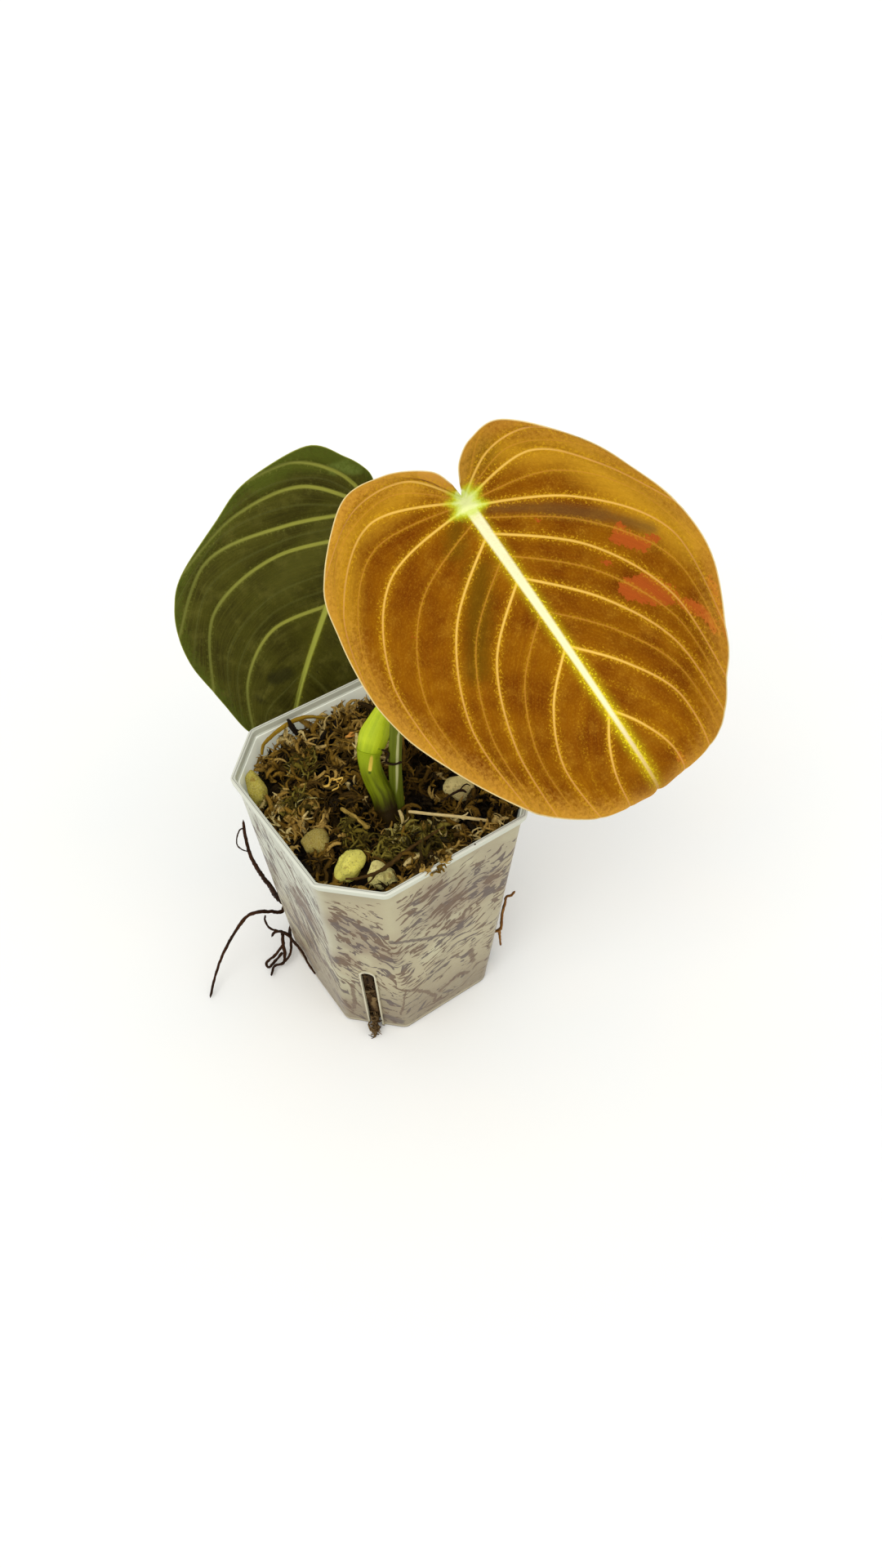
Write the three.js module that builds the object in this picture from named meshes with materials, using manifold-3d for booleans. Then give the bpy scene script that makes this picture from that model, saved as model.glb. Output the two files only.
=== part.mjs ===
// A young climbing aroid with two heart-shaped leaves in a clear square nursery pot filled with moss.
// Millimetres, +Z up. The origin is the centre of the pot's underside. The pot's sides lie along X and Y.

import * as THREE from 'three';
import { mergeVertices } from 'three/addons/utils/BufferGeometryUtils.js';
import Module from 'manifold-3d';

const wasm = await Module();
wasm.setup();

const vec = (x, y, z) => new THREE.Vector3(x, y, z);
const path = (...points) => new THREE.CatmullRomCurve3(points.map((p) => vec(...p)), false, 'centripetal');
const blend = THREE.MathUtils.lerp;
const hump = (distance, reach) => Math.exp(-((distance / reach) ** 2));

// Driving dimensions
const pot = {
  height: 95,
  footHalf: 32, // half the width across the flats at the floor
  mouthHalf: 38.7, // the same at the top of the wall, without the lip
  footCorner: 15.2, // leg of the cut corner at the floor
  mouthCorner: 14.3,
  wall: 0.8,
  floor: 1.2,
  lip: 1.3, // how far the lip stands proud of the wall
  lipFoot: 91.4,
  lipBevel: 0.35,
  lipBand: 1.4, // height of the lip's lower step
  mouthStep: 1.2, // where the inside widens, above the lip's foot
  mouthInset: 0.1, // of the lip's inside, from the wall's outer face
};
const slot = { width: 4.5, height: 41, foot: 0.2, border: 0.9, proud: 0.5, through: 4 };
const gap = 0.3; // clearance between neighbouring pieces
const cleared = gap + 0.05; // the same, with room for facets
const moss = {
  level: 86,
  strands: 30,
  spread: 35,
  cornerShare: 1.54, // of the spread, where the cut corners end the strands
  greenStrands: 9,
  seed: 41,
  overhang: 2.4,
};
const facets = { stem: 10, petiole: 8, root: 5, twig: 4, straw: 6 }; // round each kind of limb
const lumpRoom = 1.3; // more clearance for a lumpy stone, as a share of the clearance
const stem = { radius: 3.05, swell: 0.35, collar: 0.5 };
const newPetiole = { foot: 2.9, shaft: 2, bulge: 1.7 };
const oldPetiole = { foot: 1.95, top: 1.5 };
const rhizomeShape = { top: 3.6, thinning: 0.9, rings: 3, ringHeight: 0.35 };
const blade = {
  thickness: 0.8,
  quilt: 0.7, // height of the swelling between two side veins
  groove: 0.25, // depth of the midrib's groove on the face
  rib: 1.4, // depth of the midrib under the blade
  ribWidth: 1.5,
  sideRib: 0.35,
  pad: 4, // reach of the thickening at the junction
};

const finish = {
  plastic: { color: '#c6c8b8', roughness: 0.35 },
  moss: { color: '#5a4020', roughness: 0.95 },
  greenMoss: { color: '#5c6420', roughness: 0.95 },
  stem: { color: '#7c9e1a', roughness: 0.45 },
  rhizome: { color: '#5b4a22', roughness: 0.8 },
  petiole: { color: '#9ccb1c', roughness: 0.4 },
  oldPetiole: { color: '#6f8a2a', roughness: 0.45 },
  copperLeaf: { color: '#a8681c', roughness: 0.6 },
  greenLeaf: { color: '#3b4716', roughness: 0.6 },
  pumice: { color: '#cfc98f', roughness: 0.9 },
  straw: { color: '#d8c08a', roughness: 0.7 },
  root: { color: '#3c2516', roughness: 0.8 },
  bark: { color: '#17120e', roughness: 0.8 },
  goldenRoot: { color: '#8a6224', roughness: 0.7 },
};

const plant = new THREE.Group();

function place(name, geometry, look) {
  const material = new THREE.MeshStandardMaterial({ metalness: 0, ...look });
  const mesh = new THREE.Mesh(geometry, material);
  mesh.name = name;
  plant.add(mesh);
}

// Repeatable random numbers from 0 to 1
function dice(seed) {
  let state = seed;
  return () => {
    state = (state + 0x6d2b79f5) | 0;
    let mix = Math.imul(state ^ (state >>> 15), 1 | state);
    mix = (mix + Math.imul(mix ^ (mix >>> 7), 61 | mix)) ^ mix;
    return ((mix ^ (mix >>> 14)) >>> 0) / 4294967296;
  };
}

// Closed meshes and solids

function weld(geometry) {
  const bare = new THREE.BufferGeometry();
  bare.setAttribute('position', geometry.getAttribute('position').clone());
  const { index } = geometry;
  bare.setIndex(index ? index.clone() : [...Array(geometry.getAttribute('position').count).keys()]);
  const merged = mergeVertices(bare, 1e-4);
  const corners = merged.index.array;
  const kept = [];
  for (let i = 0; i < corners.length; i += 3) {
    const [a, b, c] = corners.slice(i, i + 3);
    if (a !== b && b !== c && c !== a) kept.push(a, b, c);
  }
  merged.setIndex(kept);
  return merged;
}

function toSolid(geometry) {
  const closed = weld(geometry);
  return new wasm.Manifold(new wasm.Mesh({
    numProp: 3,
    vertProperties: new Float32Array(closed.getAttribute('position').array),
    triVerts: new Uint32Array(closed.index.array),
  }));
}

function toGeometry(solid) {
  const mesh = solid.getMesh();
  const geometry = new THREE.BufferGeometry();
  geometry.setAttribute('position', new THREE.BufferAttribute(new Float32Array(mesh.vertProperties), 3));
  geometry.setIndex([...mesh.triVerts]);
  return geometry;
}

const join = (solids) => solids.reduce((whole, piece) => whole.add(piece));
const cutAway = (solid, cutters) => cutters.reduce((left, cutter) => left.subtract(cutter), solid);

function largest(solid) {
  const bodies = solid.decompose();
  return bodies.reduce((best, body) => (body.volume() > best.volume() ? body : best));
}

// A round limb along a curve: a capped cylinder bent to the curve, with its own radius at each step.
// grow makes the same limb larger all round, to cut the room that a neighbour leaves for it.
function limb(curve, radiusAt, sides, steps, grow = 0) {
  const geometry = new THREE.CylinderGeometry(1, 1, 1, sides, steps);
  const frames = curve.computeFrenetFrames(steps, false);
  const position = geometry.getAttribute('position');
  for (let i = 0; i < position.count; i += 1) {
    const step = Math.round((position.getY(i) + 0.5) * steps);
    const t = step / steps;
    const radius = radiusAt(t) + grow;
    const point = curve.getPointAt(t)
      .addScaledVector(frames.normals[step], position.getX(i) * radius)
      .addScaledVector(frames.binormals[step], -position.getZ(i) * radius);
    if (step === 0) point.addScaledVector(frames.tangents[step], -grow);
    if (step === steps) point.addScaledVector(frames.tangents[step], grow);
    position.setXYZ(i, point.x, point.y, point.z);
  }
  return toSolid(geometry);
}

const taper = (start, end) => (t) => blend(start, end, t);
const spindle = (tip, middle) => (t) => blend(tip, middle, Math.sin(Math.PI * t));

// Nursery pot

const wallHalf = (z) => blend(pot.footHalf, pot.mouthHalf, z / pot.height);
const wallCorner = (z) => blend(pot.footCorner, pot.mouthCorner, z / pot.height);

// The eight corners of the square with cut corners at a height, grown outwards by grow
function outline(z, grow) {
  const half = wallHalf(z) + grow;
  const flat = half - wallCorner(z) - grow * (2 - Math.SQRT2);
  return [
    [flat, -half], [half, -flat], [half, flat], [flat, half],
    [-flat, half], [-half, flat], [-half, -flat], [-flat, -half],
  ];
}

// A solid of that outline through levels of height and growth
function taperedBlock(levels) {
  const steps = levels.length - 1;
  const geometry = new THREE.CylinderGeometry(1, 1, 1, 8, steps);
  const position = geometry.getAttribute('position');
  for (let i = 0; i < position.count; i += 1) {
    const x = position.getX(i);
    const z = position.getZ(i);
    const [height, grow] = levels[Math.round((position.getY(i) + 0.5) * steps)];
    const corner = (Math.round(Math.atan2(x, z) / (Math.PI / 4)) + 8) % 8;
    const [atX, atY] = Math.hypot(x, z) < 0.5 ? [0, 0] : outline(height, grow)[corner];
    position.setXYZ(i, atX, atY, height);
  }
  return toSolid(geometry);
}

// An upright slot shape with a round top, standing on a cut corner and leaning with its wall
function slotPlug(turn, width, top, foot, inner, outer) {
  const shape = new THREE.Shape();
  shape.moveTo(-width / 2, foot);
  shape.lineTo(width / 2, foot);
  shape.lineTo(width / 2, top - width / 2);
  shape.absarc(0, top - width / 2, width / 2, 0, Math.PI, false);
  const depth = outer - inner;
  const geometry = new THREE.ExtrudeGeometry(shape, { depth, bevelEnabled: false, curveSegments: 4 });
  const cornerAt = (z) => (2 * wallHalf(z) - wallCorner(z)) / Math.SQRT2;
  const lean = Math.atan2(cornerAt(pot.height) - cornerAt(0), pot.height);
  geometry.translate(0, 0, inner);
  geometry.rotateX(Math.PI / 2 + lean);
  geometry.translate(0, -cornerAt(0), 0);
  geometry.rotateZ(turn);
  return toSolid(geometry);
}

const cornerTurns = [1, 3, 5, 7].map((eighths) => (eighths * Math.PI) / 4);

function potSolid() {
  const { height, lip, lipFoot, lipBevel, lipBand, mouthStep, mouthInset, wall, floor } = pot;
  const bandFoot = lipFoot + lipBevel;
  const outside = taperedBlock([
    [0, 0], [lipFoot, 0], [bandFoot, lip / 2], [bandFoot + lipBand, lip / 2],
    [bandFoot + lipBand + lipBevel, lip], [height, lip],
  ]);
  const inside = taperedBlock([
    [floor, -wall], [lipFoot + mouthStep, -wall],
    [bandFoot + mouthStep, -mouthInset], [height + 1, -mouthInset],
  ]);
  const rimmed = cornerTurns.map((turn) => {
    const { width, height: top, foot, border, proud } = slot;
    return slotPlug(turn, width + 2 * border, top + border, foot, -wall * 0.7, proud);
  });
  const { through } = slot;
  const openings = cornerTurns.map((turn) => {
    return slotPlug(turn, slot.width, slot.height, -through, -through, through);
  });
  return cutAway(join([outside, ...rimmed]).subtract(inside), openings);
}

// Stem, petioles and rhizome. Each is a list of points by hand along the piece's middle.

const stemPath = path(
  [11.2, -4.6, 81], [9.6, -4.7, 86], [8, -4.6, 88.5], [5.2, -4.2, 92.8], [2.6, -4.4, 95.8],
  [0.6, -4.4, 98.8], [-1.4, -3.8, 102.4], [-2.2, -2.8, 105],
);
function stemSolid(grow = 0) {
  const collar = (t) => stem.collar * hump(t - 0.95, 0.05);
  const radiusAt = (t) => stem.radius + stem.swell * Math.sin(Math.PI * t) + collar(t);
  return limb(stemPath, radiusAt, facets.stem, 14, grow);
}

// The new petiole stands on the collar with a broad rounded foot and ends under the front leaf
const newPetiolePath = path(
  [-2.42, -2.2, 105.8], [-2.9, -0.9, 108], [-3.3, 0.9, 111], [-3.4, 3, 115], [-2.6, 6, 120],
  [-2, 12.4, 133], [-2.4, 21, 150], [-5, 29.6, 165], [-3.7, 33.6, 172.4], [-0.9, 32.3, 176.9],
);
function newPetioleRadius(t) {
  const shaft = blend(newPetiole.foot, newPetiole.shaft, Math.min(1, t * 1.6));
  return shaft + newPetiole.bulge * hump(t - 0.045, 0.075);
}
const newPetioleSolid = () => limb(newPetiolePath, newPetioleRadius, facets.stem, 22);

// The older petiole rises beside the stem, bends over and comes down in the notch of the back leaf
const oldPetiolePath = path(
  [8.8, -1, 74], [7.9, 0.6, 82], [7.6, 1, 88], [7.3, 1.3, 104], [6.3, 2.8, 120], [0.4, 6.4, 138],
  [-14, 15, 151.5], [-34, 28, 156], [-48.2, 35.2, 154.2], [-54.6, 37.8, 151.6], [-56, 38, 148.7],
);
const oldPetioleRadius = taper(oldPetiole.foot, oldPetiole.top);
const oldPetioleSolid = (grow = 0) => limb(oldPetiolePath, oldPetioleRadius, facets.petiole, 24, grow);

const rhizomePath = path([11.4, -4.6, 80.4], [11, -4.5, 74], [8.5, -4, 62], [5.5, -3.5, 50], [3.5, -3, 38]);
function rhizomeSolid(grow = 0) {
  const { top, thinning, rings, ringHeight } = rhizomeShape;
  const ringed = (t) => top - thinning * t + ringHeight * Math.cos(2 * Math.PI * rings * t);
  const anchors = [
    path([10.5, -4.4, 71], [18, 1, 64], [24, 8, 52]),
    path([8.6, -4, 63], [4, 6, 56], [2, 16, 44]),
    path([7, -3.8, 56], [14, -8, 46], [17, -15, 34]),
    path([4.5, -3.2, 43], [0, 4, 32], [-6, 9, 20]),
  ].map((curve) => limb(curve, taper(1.2, 0.5), facets.root, 4, grow));
  return join([limb(rhizomePath, ringed, facets.petiole, 12, grow), ...anchors]);
}

// Roots outside the pot. Each starts beside the rhizome, runs through the moss and leaves by a slot.

const longRootPath = path(
  [-0.6, -5.2, 47], [-9, -12, 36], [-18, -18.5, 22], [-25.2, -25.2, 16.4], [-28.2, -29, 15.4],
  [-26, -32, 16], [-25.8, -36.5, 20], [-26.3, -39.4, 21.8], [-27.5, -43.6, 21.9], [-27.4, -47.2, 20],
  [-26.8, -51.4, 16.5], [-26, -55.9, 12], [-24.3, -59.7, 8.5], [-21.9, -63.7, 4.5], [-18.2, -67.8, 1.1],
);
const longRootSolid = (grow = 0) => limb(longRootPath, taper(0.95, 0.6), facets.root, 26, grow);

const climbingRootPath = path(
  [0.8, -7.6, 42], [-10, -17, 30], [-20, -24, 16], [-25.9, -25.9, 12.4], [-31.2, -29.2, 14.4],
  [-30, -31.4, 21], [-25.6, -33.6, 30], [-22.4, -35.4, 38], [-20.7, -38.6, 50.7], [-20.3, -40.6, 62.4],
  [-21.8, -40.3, 69.8], [-24.2, -38.7, 75.3], [-28.5, -34.5, 82],
);
const climbingLoopPath = path(
  [-23, -39.6, 72.6], [-21.8, -41.6, 74.3], [-19.6, -43.9, 74], [-18.9, -44.5, 72],
  [-19.5, -43, 67.5], [-20.4, -40.8, 64],
);
function climbingRootSolid(grow = 0) {
  return join([
    limb(climbingRootPath, taper(0.8, 0.85), facets.root, 26, grow),
    limb(climbingLoopPath, taper(0.4, 0.4), facets.twig, 10, grow),
  ]);
}

// The low roots: a main one that hooks over, a branch to the ground, a narrow loop and two side strands
const lowRootPath = path(
  [1, -3.4, 34], [-10, -14, 22], [-19, -22, 9], [-24.8, -24.8, 6.4], [-26.6, -28, 6.2], [-23, -31.4, 7.2],
  [-19.6, -33.7, 10], [-21.4, -35.4, 11.6], [-23, -37.4, 10.8], [-23, -38.9, 9],
);
const lowBranches = [
  {
    curve: path(
      [-21, -35.1, 11.3], [-18.8, -36.6, 8.6], [-16.4, -37.7, 5],
      [-14.8, -39.4, 2.8], [-15.8, -42.7, 2.2], [-13.5, -45.5, 1.1],
    ),
    radius: taper(0.7, 0.4),
    steps: 8,
  },
  {
    curve: path(
      [-18.4, -36.8, 8], [-18, -40.4, 5.2], [-18.2, -44.6, 2.8],
      [-16.9, -44.7, 1.8], [-17, -41.4, 3.2], [-17.2, -38, 5.6],
    ),
    radius: taper(0.5, 0.5),
    steps: 10,
  },
  {
    curve: path([-23, -31.4, 7], [-18.4, -33.8, 5.4], [-15.4, -36.2, 4.2], [-14.7, -39.2, 3]),
    radius: taper(0.5, 0.4),
    steps: 6,
  },
  {
    curve: path([-22.2, -36, 11.5], [-24.2, -38.2, 12.4], [-26.4, -38.7, 15.5], [-26.4, -38.2, 18.3]),
    radius: taper(0.45, 0.35),
    steps: 6,
  },
];
function rootTangleSolid(grow = 0) {
  const branches = lowBranches.map(({ curve, radius, steps }) => {
    return limb(curve, radius, facets.twig, steps, grow);
  });
  return join([limb(lowRootPath, taper(0.9, 0.5), facets.root, 20, grow), ...branches]);
}

const rightRootPath = path(
  [7, 2, 38], [14, 13, 26], [21, 21, 17], [25, 25, 15.6], [27, 27.4, 17.6], [26.6, 28.2, 21],
  [26.9, 28.1, 27], [27.8, 28.4, 34], [28.3, 28.4, 38], [29.8, 29.2, 40], [30.8, 30, 43],
);
const rightBranchPath = path([27, 27.4, 18], [26.7, 27.4, 16], [27, 27.5, 11.5], [27.6, 27.6, 7.5]);
function rightRootletsSolid(grow = 0) {
  return join([
    limb(rightRootPath, taper(0.8, 0.45), facets.root, 22, grow),
    limb(rightBranchPath, taper(0.6, 0.35), facets.twig, 5, grow),
  ]);
}

// Loose things on the moss

function stoneSolid({ at, size, turn, seed }, grow = 0) {
  const geometry = new THREE.IcosahedronGeometry(1, 2);
  const position = geometry.getAttribute('position');
  const point = new THREE.Vector3();
  for (let i = 0; i < position.count; i += 1) {
    point.fromBufferAttribute(position, i);
    const lump = 1 + 0.09 * Math.sin(3.1 * point.x + seed) + 0.08 * Math.cos(2.7 * point.y - 2 * seed)
      + 0.07 * Math.sin(4.3 * point.z + 3 * seed + 2 * point.x);
    point.multiplyScalar(lump).multiply(vec(...size).addScalar(grow * lumpRoom));
    position.setXYZ(i, point.x, point.y, point.z);
  }
  geometry.rotateY(turn * 0.4);
  geometry.rotateZ(turn);
  geometry.translate(...at);
  return toSolid(geometry);
}
const stones = {
  pumice_front_yellow: { at: [18.2, -24.6, 85.2], size: [4.5, 4.9, 3.6], turn: 0.5, seed: 1.2 },
  pumice_front_pitted: { at: [27.2, -18.4, 85.4], size: [5, 4.1, 3.3], turn: 0.9, seed: 2.7 },
  pumice_left_front: { at: [4.6, -28.4, 85.6], size: [3.8, 4.4, 3.2], turn: -0.4, seed: 4.1 },
  pumice_right: { at: [11.6, 20, 85.4], size: [4.7, 4.4, 3.6], turn: 1.3, seed: 5.5 },
  pumice_left_wall: { at: [-23, -33.4, 89], size: [2.4, 2.7, 4.4], turn: 0.7, seed: 6.3 },
};

const strawPath = path([14.9, 1.2, 88.4], [20, 5.6, 89], [25.9, 11.2, 89.6], [31, 15.6, 90.2]);
function strawSolid(grow = 0) {
  const jointed = (t) => 0.62 + 0.25 * hump(t - 0.7, 0.035);
  return limb(strawPath, jointed, facets.straw, 12, grow);
}

const deadStrandPath = path(
  [24.6, -29.2, 89.6], [26.6, -27, 90.2], [28.6, -20.2, 90.6], [26.8, -9, 90], [26, 4.8, 90.2],
);
const deadStrandSolid = (grow = 0) => limb(deadStrandPath, spindle(0.45, 0.9), facets.root, 12, grow);

const barkPath = path([-31.6, -11, 87], [-32.2, -12.2, 91.5], [-32, -13.8, 97.6]);
const barkSolid = (grow = 0) => limb(barkPath, spindle(0.4, 1), facets.root, 6, grow);

const goldenRootPath = path(
  [-33, -1, 90], [-34.4, -6, 92.8], [-34.9, -10.6, 93.6], [-34.8, -15.6, 93], [-34, -19.4, 92.6],
  [-33, -22.4, 91.6], [-31.8, -24, 89],
);
const goldenRootSolid = (grow = 0) => limb(goldenRootPath, spindle(0.6, 1), facets.root, 12, grow);

// Moss

function mossHeight(x, y) {
  const mound = 4.6 * hump(Math.hypot(x + 20, y - 4), 19) + 2 * hump(Math.hypot(x + 8, y + 20), 13);
  const hollow = 5.2 * hump(Math.hypot(x - 16, y - 8), 9) + 2.4 * hump(Math.hypot(x - 20, y + 27), 9);
  const bank = 6 * hump(x - 38, 8) * (1 - hump(y + 26, 11));
  const ripple = 0.7 * Math.sin(0.43 * x + 1) * Math.cos(0.51 * y) + 0.5 * Math.sin(0.9 * y + 0.6 * x);
  return moss.level + mound - hollow + bank + ripple;
}

// A lathe profile pulled out to the pot's outline, with the moss surface as its top
function mossCore() {
  const shares = [0, 0.25, 0.48, 0.68, 0.86, 1];
  const foot = pot.floor + gap;
  const profile = [new THREE.Vector2(0, 0), new THREE.Vector2(1, 0)];
  shares.slice().reverse().forEach((share) => profile.push(new THREE.Vector2(share, 1)));
  const around = 32;
  const geometry = new THREE.LatheGeometry(profile, around);
  const position = geometry.getAttribute('position');
  const grow = -pot.wall - gap;
  for (let i = 0; i < position.count; i += 1) {
    const angle = Math.atan2(position.getZ(i), position.getX(i));
    const share = Math.hypot(position.getX(i), position.getZ(i));
    const top = position.getY(i) > 0.5;
    const z = top ? moss.level : foot;
    const half = wallHalf(z) + grow;
    const leg = wallCorner(z) + grow * (2 - Math.SQRT2);
    const toSide = half / Math.max(Math.abs(Math.cos(angle)), Math.abs(Math.sin(angle)));
    const toCorner = (2 * half - leg) / (Math.abs(Math.cos(angle)) + Math.abs(Math.sin(angle)));
    const reach = Math.min(toSide, toCorner) * share;
    const x = reach * Math.cos(angle);
    const y = -reach * Math.sin(angle);
    position.setXYZ(i, x, y, top ? mossHeight(x, y) : foot);
  }
  return toSolid(geometry);
}

// One curled leafy strand that starts under the surface, rises and rolls over
function curl(roll, x, y, z, length, girth, grow) {
  const heading = roll() * 2 * Math.PI;
  const swing = (roll() - 0.5) * 2.4;
  const lift = 0.35 + 0.5 * roll();
  const points = [0, 0.3, 0.6, 0.85, 1].map((t) => {
    const way = heading + swing * t;
    const out = length * (t - 0.25);
    const up = -1.8 + length * lift * Math.sin(Math.PI * Math.min(1, t * 1.12));
    return [x + out * Math.cos(way), y + out * Math.sin(way), z + up];
  });
  const girthAt = (t) => blend(0.32, girth, Math.sin(Math.PI * (0.12 + 0.8 * t)));
  return limb(path(...points), girthAt, facets.twig, 4, grow);
}

function mossStrands() {
  const roll = dice(moss.seed);
  const strands = [];
  while (strands.length < moss.strands) {
    const x = (roll() * 2 - 1) * moss.spread;
    const y = (roll() * 2 - 1) * moss.spread;
    const inside = Math.abs(x) + Math.abs(y) < moss.spread * moss.cornerShare;
    const length = 6.5 + 6 * roll();
    const girth = 0.85 + 0.6 * roll();
    if (inside) strands.push(curl(roll, x, y, mossHeight(x, y), length, girth, 0));
  }
  return strands;
}

// What fills each slot from inside, and the tuft that hangs out of the front one
function slotMoss() {
  const room = 2 * (gap + 0.1);
  const plugs = cornerTurns.map((turn) => slotPlug(turn, slot.width - room, slot.height - 4, 2, -5, -0.2));
  const tuft = [
    path([20, -20, 8], [23.6, -23.8, 6], [26, -25.4, 3.4], [27.2, -26.4, 1.2]),
    path([20, -20.5, 5], [24.2, -24, 3.6], [26.6, -27.2, 2.4], [27.6, -28.6, 1.6]),
    path([20, -20, 14], [24.4, -24.2, 12.4], [26.4, -26, 9.6], [26.3, -26.6, 7]),
  ].map((curve) => limb(curve, taper(1.2, 0.5), facets.root, 6));
  return [...plugs, ...tuft];
}

// The room that moss may take: inside the pot, and freely above its lip
function mossRoom() {
  const inset = -pot.wall - gap;
  const mouth = -pot.mouthInset - cleared;
  const step = pot.lipFoot + pot.mouthStep;
  return taperedBlock([
    [pot.floor + gap, inset], [step, inset], [step + pot.wall, mouth],
    [pot.height + gap, mouth], [pot.height + 2 * gap, moss.overhang], [pot.height + 20, moss.overhang],
  ]);
}

function greenMossSolid(grow = 0) {
  const roll = dice(moss.seed + 7);
  const middle = [23.5, -3, 87];
  const pad = { at: middle, size: [6.2, 10.5, 2.9], turn: 0.15, seed: 0.4 };
  const strands = [];
  for (let i = 0; i < moss.greenStrands; i += 1) {
    const angle = roll() * 2 * Math.PI;
    const out = Math.sqrt(roll());
    const x = middle[0] + 5 * out * Math.cos(angle);
    const y = middle[1] + 9 * out * Math.sin(angle);
    const z = middle[2] + 2.2 * (1 - out * out) + 0.4;
    strands.push(curl(roll, x, y, z, 4.6 + 3 * roll(), 0.75 + 0.4 * roll(), grow));
  }
  return join([stoneSolid(pad, grow), ...strands]);
}

// Leaves. A blade is a sheet in its own frame: along the midrib, across it and up off its face.
// Each row of the table is a line from the midrib to the margin that runs with the side veins: its
// points at a third, two thirds and the end, as [along, across]. The row ends draw the outline.

const bladeColumns = [0, 0.04, 0.1, 0.19, 0.31, 0.45, 0.6, 0.75, 0.89, 1];
const mainVeins = [4, 6, 8, 10, 12, 14, 15]; // the rows that are main side veins

const frontLeaf = {
  junction: [1.4, 30.4, 180],
  tip: [74.4, 39, 131.4],
  facing: { azimuth: -40, elevation: 46 },
  arch: 0.003, // fall to each side of the midrib, per square millimetre
  lobeFall: 0.004,
  curlFrom: 79, // where the tip starts to roll under
  curlRadius: 10.8,
  ribLength: 105,
  sway: 0,
  starts: [-3, -2.7, -2.4, -2.1, -1.8, -1.4, -1, -0.4, 0.4, 4.2, 9, 16, 23, 33.5, 44.5, 64.5, 80, 101],
  right: [
    [[-4, 0.7], [-5, 1.1], [-6, 1.5]], [[-5.4, 1.9], [-7.9, 3.1], [-10.5, 4.4]],
    [[-6.2, 3.8], [-10, 7], [-14, 10.5]], [[-7.5, 7.5], [-11.6, 13.2], [-13.5, 20]],
    [[-8.6, 12.1], [-7.8, 24.4], [1, 33.5]], [[-6.2, 16.5], [1, 30.3], [14, 40.5]],
    [[-2.6, 21], [11, 35], [30, 46]], [[5.2, 23], [22.5, 38.8], [47, 45.6]],
    [[13.9, 24.2], [35.2, 40.4], [64, 37.8]], [[20.3, 22.3], [42, 36.4], [70, 34.6]],
    [[26.4, 20.1], [49, 31.1], [75, 30.5]], [[33, 17.9], [54.6, 28.2], [78.8, 27.8]],
    [[39.9, 15.4], [59.6, 24.9], [82, 25]], [[48.4, 13.4], [65.5, 21.6], [85.5, 21.5]],
    [[56.8, 10.8], [71, 17.9], [88.5, 17.2]], [[72, 5.4], [81.5, 8.8], [93.5, 8.8]],
    [[85, 2.2], [90.5, 3.8], [97.5, 3.6]], [[101.6, 0.2], [102.3, 0.35], [103, 0.5]],
  ],
  left: [
    [[-4.2, -0.1], [-5.6, -0.2], [-7, -0.3]], [[-6, -1], [-9.5, -2], [-13, -3.2]],
    [[-7.5, -3], [-13, -6.4], [-19.5, -14]], [[-11.3, -4.4], [-17.6, -14.5], [-20.3, -27]],
    [[-14.4, -9.8], [-16.4, -26], [-6, -43]], [[-13.6, -15.5], [-9.5, -35], [8, -47.8]],
    [[-11, -24], [3.8, -43], [26, -50]],
    [[-4.4, -27], [13.6, -43.8], [40, -48.2]], [[4.1, -27.4], [25.7, -42.3], [54, -43]],
    [[14.2, -24.2], [37, -38], [66, -37]], [[24.5, -20.1], [48.5, -31.8], [75.5, -31.3]],
    [[31, -18.3], [53.8, -28.6], [78.5, -28.8]], [[37.6, -16.3], [59, -24.9], [81, -26.2]],
    [[46.7, -13.6], [64.9, -21.3], [85, -21.5]], [[55.7, -10.7], [70.5, -17.4], [88.5, -16.8]],
    [[72.5, -4.6], [81.5, -7.8], [93.5, -8.6]], [[85, -2.2], [90.5, -3.8], [97.5, -3.6]],
    [[101.6, -0.2], [102.3, -0.35], [103, -0.5]],
  ],
};

const backLeafLeft = [
  [[-4.5, -1.3], [-6.5, -1.7], [-8.5, -1.9]], [[-5, -2.8], [-7.8, -4.2], [-11.5, -5.5]],
  [[-6, -6], [-9.5, -10], [-13.7, -13.5]], [[-7.4, -9], [-10.8, -16.5], [-13, -24]],
  [[-8.2, -13.6], [-7.1, -28.2], [3.5, -39.2]],
  [[-5.2, -18.5], [2.4, -34], [18, -45]], [[-1.1, -23.5], [14.6, -40.6], [37, -50.2]],
  [[5.5, -25], [22, -42.6], [48, -49.6]], [[11.7, -24.1], [30, -44.1], [57.5, -46]],
  [[17, -24.6], [38, -41.4], [66, -39.6]], [[22.7, -25], [46.4, -37.8], [73, -31]],
  [[29, -23.6], [52, -34], [77, -26]],
  [[35, -22], [57, -30], [80, -22.5]], [[41, -20.5], [62, -25.6], [83.5, -18]],
  [[46.7, -18.7], [66.6, -21.3], [86, -13.5]], [[66, -8], [76, -12], [90, -8.5]],
  [[83, -3.2], [88, -4.6], [94.5, -3.6]], [[97, -0.4], [98, -0.6], [99, -0.7]],
];
const backLeaf = {
  junction: [-55.2, 34.7, 145],
  tip: [-48.4, -13.2, 59.5],
  facing: { azimuth: -14, elevation: 12 },
  arch: 0.0028,
  lobeFall: 0.004,
  curlFrom: 86,
  curlRadius: 40,
  ribLength: 105,
  sway: -4.2, // sideways bow of the midrib
  starts: [-3, -2.7, -2.4, -2.1, -1.8, -1.4, -1, -0.4, 0.2, 4.2, 9, 15, 20, 27, 34, 58, 78, 96],
  left: backLeafLeft,
  // The hidden half follows the shown one, with its lobe held off the petiole
  right: backLeafLeft.map((row, index) => {
    const notch = 3.4 * hump(index, 1.6);
    const held = (place) => notch * Math.sqrt((place + 1) / 3);
    return row.map(([along, across], place) => [along, -0.97 * across + held(place)]);
  }),
};

const point2 = ([x, y]) => new THREE.Vector2(x, y);

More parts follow.
